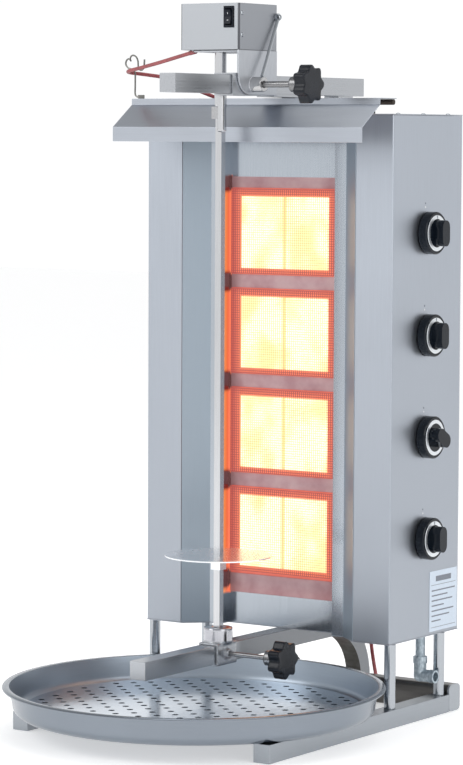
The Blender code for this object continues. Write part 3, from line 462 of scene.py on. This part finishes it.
STEEL = (0.455, 0.49, 0.545)
BOX_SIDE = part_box("motor_box")[1].x
CUP_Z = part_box("lower_sleeve")[1].z - 0.0205    # foot of the bearing cup
LAP_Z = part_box("spit")[1].z - 0.020             # foot of the spit's sawn top end
CROSSBAR_ENDS = (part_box("rear_crossbar")[0].x + 0.004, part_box("rear_crossbar")[1].x - 0.004)
BEYOND = 2.0                                    # past every piece
LOOKS = {
    # foot: a painted shade towards the panels' lower end
    "panel": brushed("panel_steel", STEEL, 0.34, SHEET_Z, foot=0.84),
    "reflector": reflector_steel(),
    "hood": brushed("hood_steel", (0.45, 0.48, 0.53), 0.30, SHEET_X),
    "lid": brushed("lid_steel", STEEL, 0.36, SHEET_X),
    # The box's side beyond BOX_SIDE gets a rougher finish and a darker copy of the steel, a painted shade;
    # its folded edges get a painted dark reflection.
    "box": painted_edge_reflection(two_finishes("box_steel", "X", (BOX_SIDE - 0.0004, BEYOND),
                                     Finish((0.50, 0.52, 0.55), 0.26, (650, 650, 650), 0.02),
                                     Finish((0.36, 0.375, 0.405), 0.44, (650, 650, 650), 0.02))),
    "tube_y": brushed("tube_steel_along_y", (0.46, 0.475, 0.50), 0.27, TUBE_Y),
    "foot": brushed("foot_steel", (0.355, 0.38, 0.41), 0.30, TUBE_Y),
    "arm": shaded_arm_tube(),
    "bracket": rounded(two_finishes("bracket_steel", "X", (BOX_SIDE + 0.0002, BEYOND),
                                    Finish((0.53, 0.55, 0.585), 0.42, (500, 500, 60), 0.04),
                                    Finish((0.50, 0.50, 0.505), 0.14, (900, 200, 200), 0.08)), 0.002),
    "cup": rounded(two_finishes("cup_steel", "Z", (CUP_Z, BEYOND),
                                Finish((0.45, 0.465, 0.49), 0.27, TUBE_Y, 0.05),
                                Finish((0.50, 0.505, 0.54), 0.16, SHAFT_Z, 0.05)), 0.007),
    "shaft": rounded(brushed("shaft_steel", (0.60, 0.605, 0.62), 0.10, SHAFT_Z, 0.05, 0.02), 0.003),
    "spit": two_finishes("spit_steel", "Z", (LAP_Z, BEYOND),
                         Finish((0.60, 0.605, 0.62), 0.15, ROD_Z, 0.05),
                         Finish((0.44, 0.44, 0.45), 0.34, (900, 900, 900), 0.30)),
    # The crossbar is painted dark along its length, a painted shade; only its end faces keep the lit steel.
    "tube_x": two_finishes("tube_steel_along_x", "X", CROSSBAR_ENDS,
                           Finish((0.40, 0.425, 0.455), 0.34, TUBE_X, 0.03),
                           Finish((0.115, 0.11, 0.105), 0.34, (9, 30, 60), 0.30)),
    "bright_z": brushed("bright_steel_along_z", (0.43, 0.455, 0.485), 0.14, ROD_Z, 0.06, 0.03),
    "turned": brushed("turned_steel", (0.90, 0.92, 0.94), 0.24, TURNED, 0.06),
    "hook_wire": brushed("hook_wire", (0.24, 0.235, 0.22), 0.32, TURNED, 0.06),
    "pan": brushed("pan_steel", (0.25, 0.28, 0.32), 0.20, SPUN, 0.05, 0.02),
    # the pan's inside: a paler copy of the steel, a painted light
    "pan_inside": brushed("pan_inside_steel", (0.38, 0.435, 0.50), 0.36, SPUN, 0.05, 0.02),
    "plate": brushed("plate_steel", (0.67, 0.735, 0.81), 0.15, (420, 12, 420), 0.10, 0.02),
    # the hood bar's steel, coloured dark brown, a painted reflection of warm colour
    "dark": brushed("dark_steel", (0.075, 0.062, 0.055), 0.55, (60, 300, 300), 0.2),
    "cast": moulded("cast_metal", (0.21, 0.22, 0.23), 0.6, 500, 0.4),
    "brass": brushed("valve_brass", (0.55, 0.38, 0.15), 0.32, (300, 300, 300)),
    "knob": moulded("knob_plastic", (0.004, 0.007, 0.012), 0.16, gloss=0.24),
    "upper_star": rounded(star_knob("upper_star_plastic", "upper_clamp_knob"), 0.004),
    "lower_star": rounded(star_knob("lower_star_plastic", "lower_clamp_knob"), 0.004),
    "switch": moulded("switch_plastic", (0.004, 0.006, 0.012), 0.22, 1500, 0.05, gloss=0.2),
    "rubber": moulded("black_rubber", (0.014, 0.014, 0.015), 0.55),
    "galvanised": galvanised(),
    # housings and guards: brown heat tints, and a painted glow near the tiles
    "hot_steel": heat_tint_and_painted_glow("hot_steel", (0.20, 0.10, 0.09), (0.14, 0.07, 0.07), (1.0, 0.25, 0.10),
                             (0.90, 0.16, 0.12), 1.08, 0.018),
    "hot_wire": heat_tint_and_painted_glow("hot_wire", (0.10, 0.05, 0.05), (0.16, 0.08, 0.07), (1.0, 0.72, 0.36),
                            (0.72, 0.13, 0.13), 0.78, 0.004),
    # the rack's pinkish colours are a painted reflection of the burners' glow, and its emission a painted
    # glow
    "rack": heat_tint_and_painted_glow("rack_steel", (0.42, 0.31, 0.32), (0.34, 0.22, 0.24), (0.85, 0.30, 0.29),
                        (0.60, 0.25, 0.26), 0.20, 0.030),
    "ceramic": hot_ceramic(),
    "cable": rubber_cable("cable_sheath"),
    "silver": brushed("dial_silver", (0.80, 0.83, 0.86), 0.40, (500, 500, 500), 0.1, 0.03),
    "label": plain_pale("label_film", (0.62, 0.70, 0.80), 0.45),
    "ink": plain_pale("label_ink", (0.19, 0.21, 0.25), 0.5),
    "white": plain_pale("white_print", (0.75, 0.76, 0.78), 0.4),
}

NODE_LOOKS = {
    "panel": ("side_panel_left", "side_panel_right", "rear_panel", "bottom_plate"),
    "lid": ("top_cover",),
    "reflector": ("front_reflector",),
    "rack": ("burner_rack",),
    "hood": ("hood",),
    "dark": ("hood_bar",),
    "box": ("motor_box",),
    "bracket": ("motor_bracket",),
    "arm": ("lower_arm",),
    "tube_y": ("upper_rail", "upper_sleeve"),
    "foot": ("base_foot_left", "base_foot_right"),
    "cup": ("lower_sleeve",),
    "spit": ("spit",),
    "shaft": ("drive_shaft",),
    "tube_x": ("rear_crossbar",),
    "bright_z": ("column_left_front", "column_left_rear",
                 "column_right_front", "column_right_rear", "brace_rod"),
    "turned": ("spit_disc",),
    "hook_wire": ("cord_hook",),
    "pan": ("drip_pan",),
    "plate": ("perforated_plate",),
    "cast": ("gear_motor",),
    "galvanised": ("gas_manifold", "gas_inlet"),
    "knob": tuple("gas_knob_%d" % i for i in BURNERS),
    "upper_star": ("upper_clamp_knob",),
    "lower_star": ("lower_clamp_knob",),
    "switch": ("switch_housing", "switch_rocker"),
    "rubber": ("mains_plug",),
    "brass": tuple("gas_valve_%d" % i for i in BURNERS),
    "hot_steel": tuple("burner_housing_%d" % i for i in BURNERS),
    "ceramic": tuple("ceramic_tiles_%d" % i for i in BURNERS),
    "hot_wire": tuple("mesh_guard_%d" % i for i in BURNERS),
    "cable": ("cord_gland", "motor_cord", "cord_coil"),
}


def dress_nodes():
    """Gives each carried-over piece its look."""
    for look_name, node_names in NODE_LOOKS.items():
        for node_name in node_names:
            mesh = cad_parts[node_name].data
            mesh.materials.clear()
            mesh.materials.append(LOOKS[look_name].material)


# ---------------------------------------------------------------- mesh helpers

def add_object(name, data, look, body, smooth_angle=35):
    """A new piece from a mesh, riding on the body, if one is given."""
    obj = bpy.data.objects.new(name, data)
    bpy.context.scene.collection.objects.link(obj)
    data.materials.clear()
    data.materials.append(LOOKS[look].material)
    data.shade_smooth()
    data.set_sharp_from_angle(angle=math.radians(smooth_angle))
    if body:
        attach(obj, body)
    return obj


def mesh_of(name, bm):
    mesh = bpy.data.meshes.new(name)
    bmesh.ops.recalc_face_normals(bm, faces=bm.faces)
    bm.to_mesh(mesh)
    bm.free()
    return mesh


def add_block(bm, low, high):
    low, high = Vector(low), Vector(high)
    matrix = Matrix.Translation((low + high) / 2) @ Matrix.Diagonal((*(high - low), 1.0))
    return bmesh.ops.create_cube(bm, size=1.0, matrix=matrix)["verts"]


def meshed(data):
    """The mesh of a curve, with its bevel and fill."""
    curve = bpy.data.objects.new("outline", data)
    bpy.context.scene.collection.objects.link(curve)
    bpy.context.view_layer.update()
    graph = bpy.context.evaluated_depsgraph_get()
    mesh = bpy.data.meshes.new_from_object(curve.evaluated_get(graph))
    bpy.data.objects.remove(curve, do_unlink=True)
    return mesh


def lathe(bm, profile, centre, axis, steps=48):
    """Turns (radius, distance along the axis) points about an axis through centre."""
    axis = Vector(axis).normalized()
    side = axis.orthogonal().normalized()
    points = [bm.verts.new(Vector(centre) + side * r + axis * t) for r, t in profile]
    edges = [bm.edges.new(pair) for pair in zip(points, points[1:])]
    bmesh.ops.spin(bm, geom=points + edges, cent=centre, axis=axis, angle=2 * math.pi, steps=steps,
                   use_merge=True)
    bmesh.ops.remove_doubles(bm, verts=bm.verts, dist=0.000001)


def soften(node_name, width):
    """Rounds a carried-over piece's sharp edges a little, so that they catch the light."""
    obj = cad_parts[node_name]
    weld = obj.modifiers.new("weld", "WELD")
    weld.merge_threshold = 0.00001
    bevel = obj.modifiers.new("edges", "BEVEL")
    bevel.width = width
    bevel.segments = 2
    bevel.limit_method = "ANGLE"
    bevel.angle_limit = math.radians(40)
    bevel.harden_normals = True


# ---------------------------------------------------------------- floor and light

# Where the room isn't at its usual level: a direction, how far from it the change starts and ends, as
# cosines, and the level there.
ROOM_LEVEL = 1.015
ROOM_PATCHES = (((0.56, 0.83, 0), 0.86, 0.98, 0.97), ((0.985, 0.17, 0), 0.93, 0.985, 0.12))
# The sky's brightness at heights from the horizon, 0, to overhead, 1.
SKY = ((0.0, 1.0), (0.16, 1.0), (0.42, 0.62), (1.0, 0.42))
# Soft lamps: a name, a place, a size and a power.
LAMPS = (("key", (-2.4, -3.6, 3.4), 2.6, 52), ("fill", (3.6, -1.0, 2.2), 2.2, 32),
         ("top", (0, 0.4, 3.6), 2.4, 24))
LAMP_AIM = Vector((0, 0, 0.6))


def lit_paper():
    """White paper lit from below, as on a light table, so that the shadows stay faint."""
    look = Look("floor_paper", (0.93, 0.93, 0.93), 0.8)
    tone = look.ranged(look.noise(260), *NOISE_SPAN)
    look.feed("Base Color", look.mixed(tone, (0.90, 0.90, 0.90), (0.94, 0.94, 0.94)))
    look.set("Emission Color", (1.0, 1.0, 1.0, 1.0))
    look.set("Emission Strength", 0.45)
    return look


def studio_world():
    """A pale surround: white at the horizon, grey overhead, and darker in a patch on the right."""
    world = bpy.data.worlds.new("studio")
    world.use_nodes = True
    room = Graph(world.node_tree)
    background = room.tree.nodes["Background"]
    toward = room.node("TexCoord").outputs["Generated"]
    levels = []
    for direction, start, end, level in ROOM_PATCHES:
        nearness = room.node("VectorMath", operation="DOT_PRODUCT")
        nearness.inputs[1].default_value = direction
        room.link(toward, nearness.inputs[0])
        levels.append(room.ranged(nearness.outputs["Value"], start, end, ROOM_LEVEL, level, smooth=True))
    room.link(room.product(*levels), background.inputs["Strength"])
    ramp = room.node("ValToRGB")
    room.link(room.split(toward)["Z"], ramp.inputs["Fac"])
    room.link(ramp.outputs["Color"], background.inputs["Color"])
    for k, (height, value) in enumerate(SKY):
        stop = ramp.color_ramp.elements[k] if k < 2 else ramp.color_ramp.elements.new(height)
        stop.position = height
        stop.color = (value * 0.985, value * 0.992, value, 1.0)
    bpy.context.scene.world = world


def stage():
    """The floor, the surround and the lamps."""
    bm = bmesh.new()
    bmesh.ops.create_grid(bm, x_segments=1, y_segments=1, size=14)
    mesh = mesh_of("floor", bm)
    floor = bpy.data.objects.new("floor", mesh)
    floor.location = (0, 0, -0.0005)
    bpy.context.scene.collection.objects.link(floor)
    mesh.materials.append(lit_paper().material)
    studio_world()
    for name, place, size, power in LAMPS:
        data = bpy.data.lights.new(name, "AREA")
        data.size = size
        data.energy = power
        lamp = bpy.data.objects.new(name, data)
        lamp.location = place
        lamp.rotation_euler = (LAMP_AIM - Vector(place)).to_track_quat("-Z", "Y").to_euler()
        bpy.context.scene.collection.objects.link(lamp)
    bpy.context.scene.view_settings.view_transform = "Standard"


# ---------------------------------------------------------------- burners

MESH_PITCH = 0.0041
MESH_WIRE = 0.00085             # thickness of the guard's wire


def wire_guards():
    """Woven wire in place of each solid guard: flat wires, the upright ones behind the level ones."""
    half = MESH_WIRE / 2
    for i in BURNERS:
        low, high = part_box("mesh_guard_%d" % i)
        middle = (low.y + high.y) / 2
        bm = bmesh.new()
        columns = round((high.x - low.x) / MESH_PITCH)
        rows = round((high.z - low.z) / MESH_PITCH)
        for k in range(columns + 1):
            x = low.x + half + (high.x - low.x - MESH_WIRE) * k / columns
            add_block(bm, (x - half, middle, low.z), (x + half, high.y, high.z))
        for k in range(rows + 1):
            z = low.z + half + (high.z - low.z - MESH_WIRE) * k / rows
            add_block(bm, (low.x, low.y, z - half), (high.x, middle, z + half))
        guard = add_object("wire_guard_%d" % i, mesh_of("wire_guard", bm), "hot_wire", "frame")
        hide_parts("mesh_guard_%d" % i)


# ---------------------------------------------------------------- pan and its insert

SHEET = 0.0012                  # thickness of the pan and of its insert
HOLE_R = 0.0054
HOLE_PITCH = 0.0304             # of the insert's square lattice of holes
HOLE_TURN = math.radians(48.6)  # of that lattice about the pan's centre
HOLE_MARGIN = 0.014             # from the insert's edge to the nearest hole's centre
PAN_CORNER = 0.018              # radius of the bend round the pan's floor
PAN_FLARE = 0.0165              # how far the wall leans out
PAN_LIP = 0.004                 # height of the rim's part that keeps the outside's look
# The rolled rim's section: insets from its edge and drops from its top.
PAN_RIM = ((0.0115, 0.0006), (0.0085, 0.0), (0.0015, 0.0004), (0.0, 0.0022), (0.0006, 0.0040),
           (0.0020, 0.0034), (0.0030, 0.0018), (0.0090, 0.0016), (0.0108, 0.0022))


def perforated_plate():
    """The plate with its staggered round holes, and its turned-down skirt."""
    low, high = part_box("perforated_plate")
    radius = (high.x - low.x) / 2
    centre = ((low.x + high.x) / 2, (low.y + high.y) / 2)
    data = bpy.data.curves.new("plate_outline", "CURVE")
    data.dimensions = "2D"
    data.fill_mode = "BOTH"
    data.extrude = SHEET / 2
    circles = [((0, 0), radius, 96)]
    reach = int(radius / HOLE_PITCH) + 1
    cosine, sine = math.cos(HOLE_TURN), math.sin(HOLE_TURN)
    for i in range(-reach, reach + 1):
        for j in range(-reach, reach + 1):
            u, v = (i + 0.5) * HOLE_PITCH, j * HOLE_PITCH
            spot = (u * cosine - v * sine, u * sine + v * cosine)
            if math.hypot(*spot) < radius - HOLE_MARGIN:
                circles.append((spot, HOLE_R, 16))
    for (x, y), r, count in circles:
        spline = data.splines.new("POLY")
        spline.points.add(count - 1)
        for k, point in enumerate(spline.points):
            angle = 2 * math.pi * k / count
            point.co = (x + r * math.cos(angle), y + r * math.sin(angle), 0, 1)
        spline.use_cyclic_u = True
    mesh = meshed(data)
    mesh.transform(Matrix.Translation((centre[0], centre[1], high.z - SHEET / 2)))
    bm = bmesh.new()
    bm.from_mesh(mesh)
    lathe(bm, [(radius - 0.0004, high.z - SHEET / 2), (radius, high.z - SHEET), (radius, low.z),
               (radius - SHEET, low.z), (radius - SHEET, high.z - SHEET)],
          (*centre, 0), (0, 0, 1), 96)
    plate = add_object("pan_insert", mesh_of("pan_insert", bm), "plate", "pan_insert")
    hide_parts("perforated_plate")


def drip_pan():
    """The spun pan with its rolled rim. Its inward and upward faces have a look of their own: a rougher
    finish and a paler copy of the steel, a painted light.
    """
    low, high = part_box("drip_pan")
    radius = (high.x - low.x) / 2
    centre = ((low.x + high.x) / 2, (low.y + high.y) / 2, 0)
    base = low.z
    bend = radius - PAN_FLARE - PAN_CORNER
    tight = PAN_CORNER - SHEET
    turns = [math.radians(90 * k / 8) for k in range(9)]
    outer = [(bend + PAN_CORNER * math.cos(a), base + PAN_CORNER - PAN_CORNER * math.sin(a)) for a in turns]
    inner = [(bend + tight * math.sin(a), base + PAN_CORNER - tight * math.cos(a)) for a in turns]
    rim = [(radius - inset, high.z - drop) for inset, drop in PAN_RIM]
    profile = rim + outer + [(0.0005, base), (0.0005, base + SHEET)] + inner + [rim[0]]
    bm = bmesh.new()
    lathe(bm, profile, centre, (0, 0, 1), 128)
    pan = add_object("spun_pan", mesh_of("spun_pan", bm), "pan", "pan", 50)
    # a paler copy of the steel, a painted light, on the inside
    pan.data.materials.append(LOOKS["pan_inside"].material)
    for face in pan.data.polygons:
        middle = face.center - Vector(centre)
        inward = middle.x * face.normal.x + middle.y * face.normal.y < -0.01 or face.normal.z > 0.5
        if inward and middle.z < high.z - PAN_LIP:
            face.material_index = 1
    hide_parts("drip_pan")


# ---------------------------------------------------------------- dials, switch, label and screws

DIAL_FACE = SIDE_X + 0.0165     # outer face of a gas knob's dial
RING_R = (0.0235, 0.0297)       # of the silver ring on the dial
RING_THICK = 0.0006
TICK_R = (0.0240, 0.0290)       # where the dial's tick starts and ends
KNOB_TURNS = {3: math.radians(60)}              # the knobs that aren't off
PANEL_MARKS = (("white", 0.0425), ("ink", 0.0490))  # looks and heights above the knob's axis
PANEL_MARK_Y = -0.010
LABEL_Y = (FRONT + 0.127, FRONT + 0.217)
LABEL_Z = (0.142, 0.243)
LABEL_BARS = (0.076, 0.052, 0.068, 0.040, 0.072, 0.058, 0.030)  # lengths, from the top
BAR_PITCH = 0.0085
SCREW_R = 0.0040
BOX_GAP = 0.009                 # from the motor box's upright edges to its screws
BRACE_SCREW_Z = 1.1565
LID_GAP = 0.010                 # from the casing's sides to the lid's screws
LID_SCREWS_Y = (FRONT + 0.030, FRONT + 0.110, FRONT + 0.190)
BACK_GAP = 0.012                # from the casing's sides to the back's screws
BACK_SCREWS_Z = (0.18, 0.42, 0.72, 0.95)


def dials():
    """The silver ring and its tick on each gas knob, and the two marks on the panel above it."""
    for i in BURNERS:
        low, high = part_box("gas_knob_%d" % i)
        y = (low.y + high.y) / 2
        z = (low.z + high.z) / 2
        bm = bmesh.new()
        lathe(bm, [(RING_R[0], DIAL_FACE), (RING_R[0], DIAL_FACE + RING_THICK),
                   (RING_R[1] - 0.0005, DIAL_FACE + RING_THICK), (RING_R[1], DIAL_FACE),
                   (RING_R[0], DIAL_FACE)], (0, y, z), (1, 0, 0), 56)
        ring = add_object("dial_ring_%d" % i, mesh_of("dial_ring", bm), "silver", "knob_%d" % i)
        bm = bmesh.new()
        tick = add_block(bm, (DIAL_FACE + 0.0004, -0.0009, TICK_R[0]),
                         (DIAL_FACE + 0.0009, 0.0009, TICK_R[1]))
        turn = Matrix.Rotation(KNOB_TURNS.get(i, 0.0), 4, "X")
        bmesh.ops.transform(bm, matrix=Matrix.Translation((0, y, z)) @ turn, verts=tick)
        tick = add_object("dial_tick_%d" % i, mesh_of("dial_tick", bm), "ink", "knob_%d" % i)
        for kind, up in PANEL_MARKS:
            bm = bmesh.new()
            lathe(bm, [(0.0001, 0.0004), (0.0014, 0.0003), (0.0016, 0)],
                  (SIDE_X, y + PANEL_MARK_Y, z + up), (1, 0, 0), 16)
            mark = add_object("%s_mark_%d" % (kind, i), mesh_of("panel_mark", bm), kind, "frame")


def rocker_marks():
    """A bar and a dash on the two halves of the rocker."""
    low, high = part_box("switch_rocker")
    x, z = (low.x + high.x) / 2, (low.z + high.z) / 2
    bm = bmesh.new()
    for side, half_x, half_z in ((1, 0.0004, 0.0016), (-1, 0.0014, 0.0005)):
        middle = z + side * 0.0055
        add_block(bm, (x - half_x, low.y + 0.0006, middle - half_z),
                  (x + half_x, low.y + 0.0014, middle + half_z))
    marks = add_object("rocker_marks", mesh_of("rocker_marks", bm), "white", "rocker")


def rating_label():
    """A blank rating label: a title block, two rules and plain bars, with no lettering."""
    low = Vector((SIDE_X + 0.0001, LABEL_Y[0], LABEL_Z[0]))
    high = Vector((SIDE_X + 0.0005, LABEL_Y[1], LABEL_Z[1]))
    bm = bmesh.new()
    add_block(bm, low, high)
    film = add_object("label_film", mesh_of("label_film", bm), "label", "frame")
    bm = bmesh.new()
    x0, x1 = high.x - 0.0001, high.x + 0.0001
    for k, length in enumerate(LABEL_BARS):
        z = high.z - 0.034 - BAR_PITCH * k
        add_block(bm, (x0, low.y + 0.007, z), (x1, low.y + 0.007 + length, z + 0.0022))
    for z in (high.z - 0.024, low.z + 0.006):
        add_block(bm, (x0, low.y + 0.005, z), (x1, high.y - 0.005, z + 0.0008))
    add_block(bm, (x0, low.y + 0.020, high.z - 0.018), (x1, high.y - 0.020, high.z - 0.009))
    ink = add_object("label_ink", mesh_of("label_ink", bm), "ink", "frame")


def screw_heads(name, body, spots):
    """Domed screw heads with a cross recess, as one piece per body. A spot is a point and an axis."""
    r = SCREW_R
    bm = bmesh.new()
    for point, axis in spots:
        axis = Vector(axis)
        lathe(bm, [(0.0002, r * 0.42), (r * 0.5, r * 0.40), (r * 0.85, r * 0.22), (r, 0.0002),
                   (r, -0.0002)], point, axis, 16)
        across = axis.orthogonal().normalized()
        for direction in (across, axis.cross(across)):
            middle = Vector(point) + axis * r * 0.40
            turn = Matrix((direction, axis.cross(direction), axis)).transposed().to_4x4()
            size = Matrix.Diagonal((r * 1.1, r * 0.22, r * 0.12, 1.0))
            bmesh.ops.create_cube(bm, size=1.0, matrix=Matrix.Translation(middle) @ turn @ size)
    obj = add_object(name, mesh_of(name, bm), "bright_z", body)


def screws():
    """The screws of the motor box, its brace, and the casing's lid and back."""
    low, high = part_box("motor_box")
    box = [((way * high.x, low.y + BOX_GAP, high.z - down), (way, 0, 0))
           for way in (1, -1) for down in (0.0155, 0.0505)]
    box.append(((-high.x, high.y - BOX_GAP, high.z - 0.033), (-1, 0, 0)))
    screw_heads("box_screws", "upper_carriage", box)
    brace_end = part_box("brace_rod")[1].x
    screw_heads("brace_screw", "upper_carriage",
                [((brace_end - 0.0058, high.y - 0.0035, BRACE_SCREW_Z), (1, 0, 0))])
    screw_heads("cover_screws", "upper_carriage",
                [((low.x + x, low.y + 0.010, low.z), (0, 0, -1)) for x in (0.019, 0.057)])
    casing = [((way * (SIDE_X - LID_GAP), y, LID_Z), (0, 0, 1)) for y in LID_SCREWS_Y for way in (-1, 1)]
    casing += [((way * (SIDE_X - BACK_GAP), BACK, z), (0, 1, 0)) for z in BACK_SCREWS_Z for way in (-1, 1)]
    screw_heads("casing_screws", "frame", casing)


# ---------------------------------------------------------------- motor lead

CORD_R = 0.0032
CORD_STEP = 0.006               # between the points of its path
# The lead's route: out of the gland, round the hook, over the lid and down the back to the floor, in X,
# distance behind FRONT, and Z.
CORD_ROUTE = [
    (-0.0563, -0.1469, 1.0975), (-0.0720, -0.1388, 1.0953), (-0.0960, -0.1266, 1.0920),
    (-0.1280, -0.1103, 1.0875), (-0.1600, -0.0940, 1.0832), (-0.1900, -0.0787, 1.0795),
    (-0.2140, -0.0665, 1.0765), (-0.2350, -0.0570, 1.0740), (-0.2520, -0.0460, 1.0718),
    (-0.2610, -0.0290, 1.0702), (-0.2550, -0.0110, 1.0685), (-0.2390, 0.0000, 1.0660),
    (-0.2150, 0.0090, 1.0620), (-0.1900, 0.0240, 1.0520), (-0.1680, 0.0430, 1.0400),
    (-0.1470, 0.0610, 1.0290), (-0.1270, 0.0770, 1.0180), (-0.1060, 0.0960, 1.0095),
    (-0.0850, 0.1180, 1.0056), (-0.0600, 0.1440, 1.0050), (-0.0350, 0.1700, 1.0050),
    (-0.0130, 0.1980, 1.0066), (0.0000, 0.2190, 1.0080), (0.0065, 0.2365, 1.0040),
    (0.0102, 0.2480, 0.9900), (0.0125, 0.2530, 0.9740), (0.0138, 0.2540, 0.9560),
    (0.0150, 0.2520, 0.8600), (0.0200, 0.2480, 0.6000), (0.0310, 0.2490, 0.3200),
    (0.0430, 0.2510, 0.1800), (0.0490, 0.2540, 0.1150), (0.0500, 0.2620, 0.0720),
    (0.0470, 0.2760, 0.0400), (0.0390, 0.2960, 0.0170), (0.0260, 0.3140, 0.0068),
    (0.0080, 0.3290, 0.0038), (-0.0140, 0.3380, 0.0035), (-0.0450, 0.3390, 0.0035),
    (-0.0726, 0.3376, 0.0035),
]
COIL_R = (0.0305, 0.0372)
COIL_Z = (0.0036, 0.0102, 0.0168)
LANE_CHANGE = 50                # degrees that a change of lane takes
FIRST_CHANGE = 300              # degrees into the first turn at which it starts


def coil_turns(centre):
    """Five turns, wound outer, inner, inner, outer, outer. Each turn moves to the next lane over a
    short stretch, and each later turn does it sooner, so that the lanes never meet."""
    inner, outer = COIL_R
    lanes = [(outer, COIL_Z[0]), (inner, COIL_Z[0]), (inner, COIL_Z[1]), (outer, COIL_Z[1]),
             (outer, COIL_Z[2])]
    last = len(lanes) - 1
    points = []
    steps = 24
    for k in range(len(lanes) * steps + 1):
        angle = 360 * k / steps
        turn = min(k // steps, last)
        start = FIRST_CHANGE - LANE_CHANGE * turn
        share = min(1.0, max(0.0, (angle - 360 * turn - start) / LANE_CHANGE))
        share = share * share * (3 - 2 * share)
        r, z = (a + (b - a) * share for a, b in zip(lanes[turn], lanes[min(turn + 1, last)]))
        theta = math.radians(90 + angle)
        points.append((centre[0] + r * math.cos(theta), centre[1] + r * math.sin(theta), z))
    return points


def smooth_curve(points, spacing):
    """Points at even steps on a Catmull-Rom curve through the given ones."""
    knots = [Vector(p) for p in points]
    knots = [2 * knots[0] - knots[1]] + knots + [2 * knots[-1] - knots[-2]]
    dense = []
    for a, b, c, d in zip(knots, knots[1:], knots[2:], knots[3:]):
        for k in range(16):
            t = k / 16
            dense.append(0.5 * (2 * b + (c - a) * t + (2 * a - 5 * b + 4 * c - d) * t * t
                                + (3 * b - a - 3 * c + d) * t ** 3))
    dense.append(knots[-2])
    lengths = [0.0]
    for a, b in zip(dense, dense[1:]):
        lengths.append(lengths[-1] + (b - a).length)
    count = max(2, round(lengths[-1] / spacing))
    out = []
    at = 0
    for i in range(count + 1):
        target = lengths[-1] * i / count
        while at < len(dense) - 2 and lengths[at + 1] < target:
            at += 1
        share = (target - lengths[at]) / max(1e-9, lengths[at + 1] - lengths[at])
        out.append(dense[at].lerp(dense[at + 1], share))
    return out


def motor_lead():
    """The lead, from the motor box round the hook to the coil and plug, as one piece that rides on no body.
    """
    coil_low, coil_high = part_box("cord_coil")
    centre = ((coil_low.x + coil_high.x) / 2, (coil_low.y + coil_high.y) / 2)
    plug_low, plug_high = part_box("mains_plug")
    route = [(x, FRONT + y, z) for x, y, z in CORD_ROUTE]
    turns = coil_turns(centre)
    end = turns[-1]
    tail = [(end[0] - 0.010, end[1], end[2] + 0.0004),
            (plug_high.x + 0.0004, end[1], (plug_low.z + plug_high.z) / 2)]
    points = smooth_curve(route + turns + tail, CORD_STEP)
    data = bpy.data.curves.new("lead", "CURVE")
    data.dimensions = "3D"
    data.bevel_depth = CORD_R
    data.bevel_resolution = 4
    data.use_fill_caps = True
    spline = data.splines.new("POLY")
    spline.points.add(len(points) - 1)
    for point, co in zip(spline.points, points):
        point.co = (*co, 1)
    lead = add_object("motor_lead", meshed(data), "cable", None, 60)
    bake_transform(lead)
    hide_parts("motor_cord", "cord_coil")


# ---------------------------------------------------------------- everything

camera()
dress_nodes()
stage()
wire_guards()
perforated_plate()
drip_pan()
dials()
rocker_marks()
rating_label()
screws()
motor_lead()
soften("motor_box", 0.0030)
for node_name in ("upper_rail", "lower_arm", "base_foot_left", "base_foot_right", "hood",
                  "side_panel_left", "side_panel_right", "rear_crossbar", "top_cover", "spit",
                  "switch_housing"):
    soften(node_name, 0.0006)
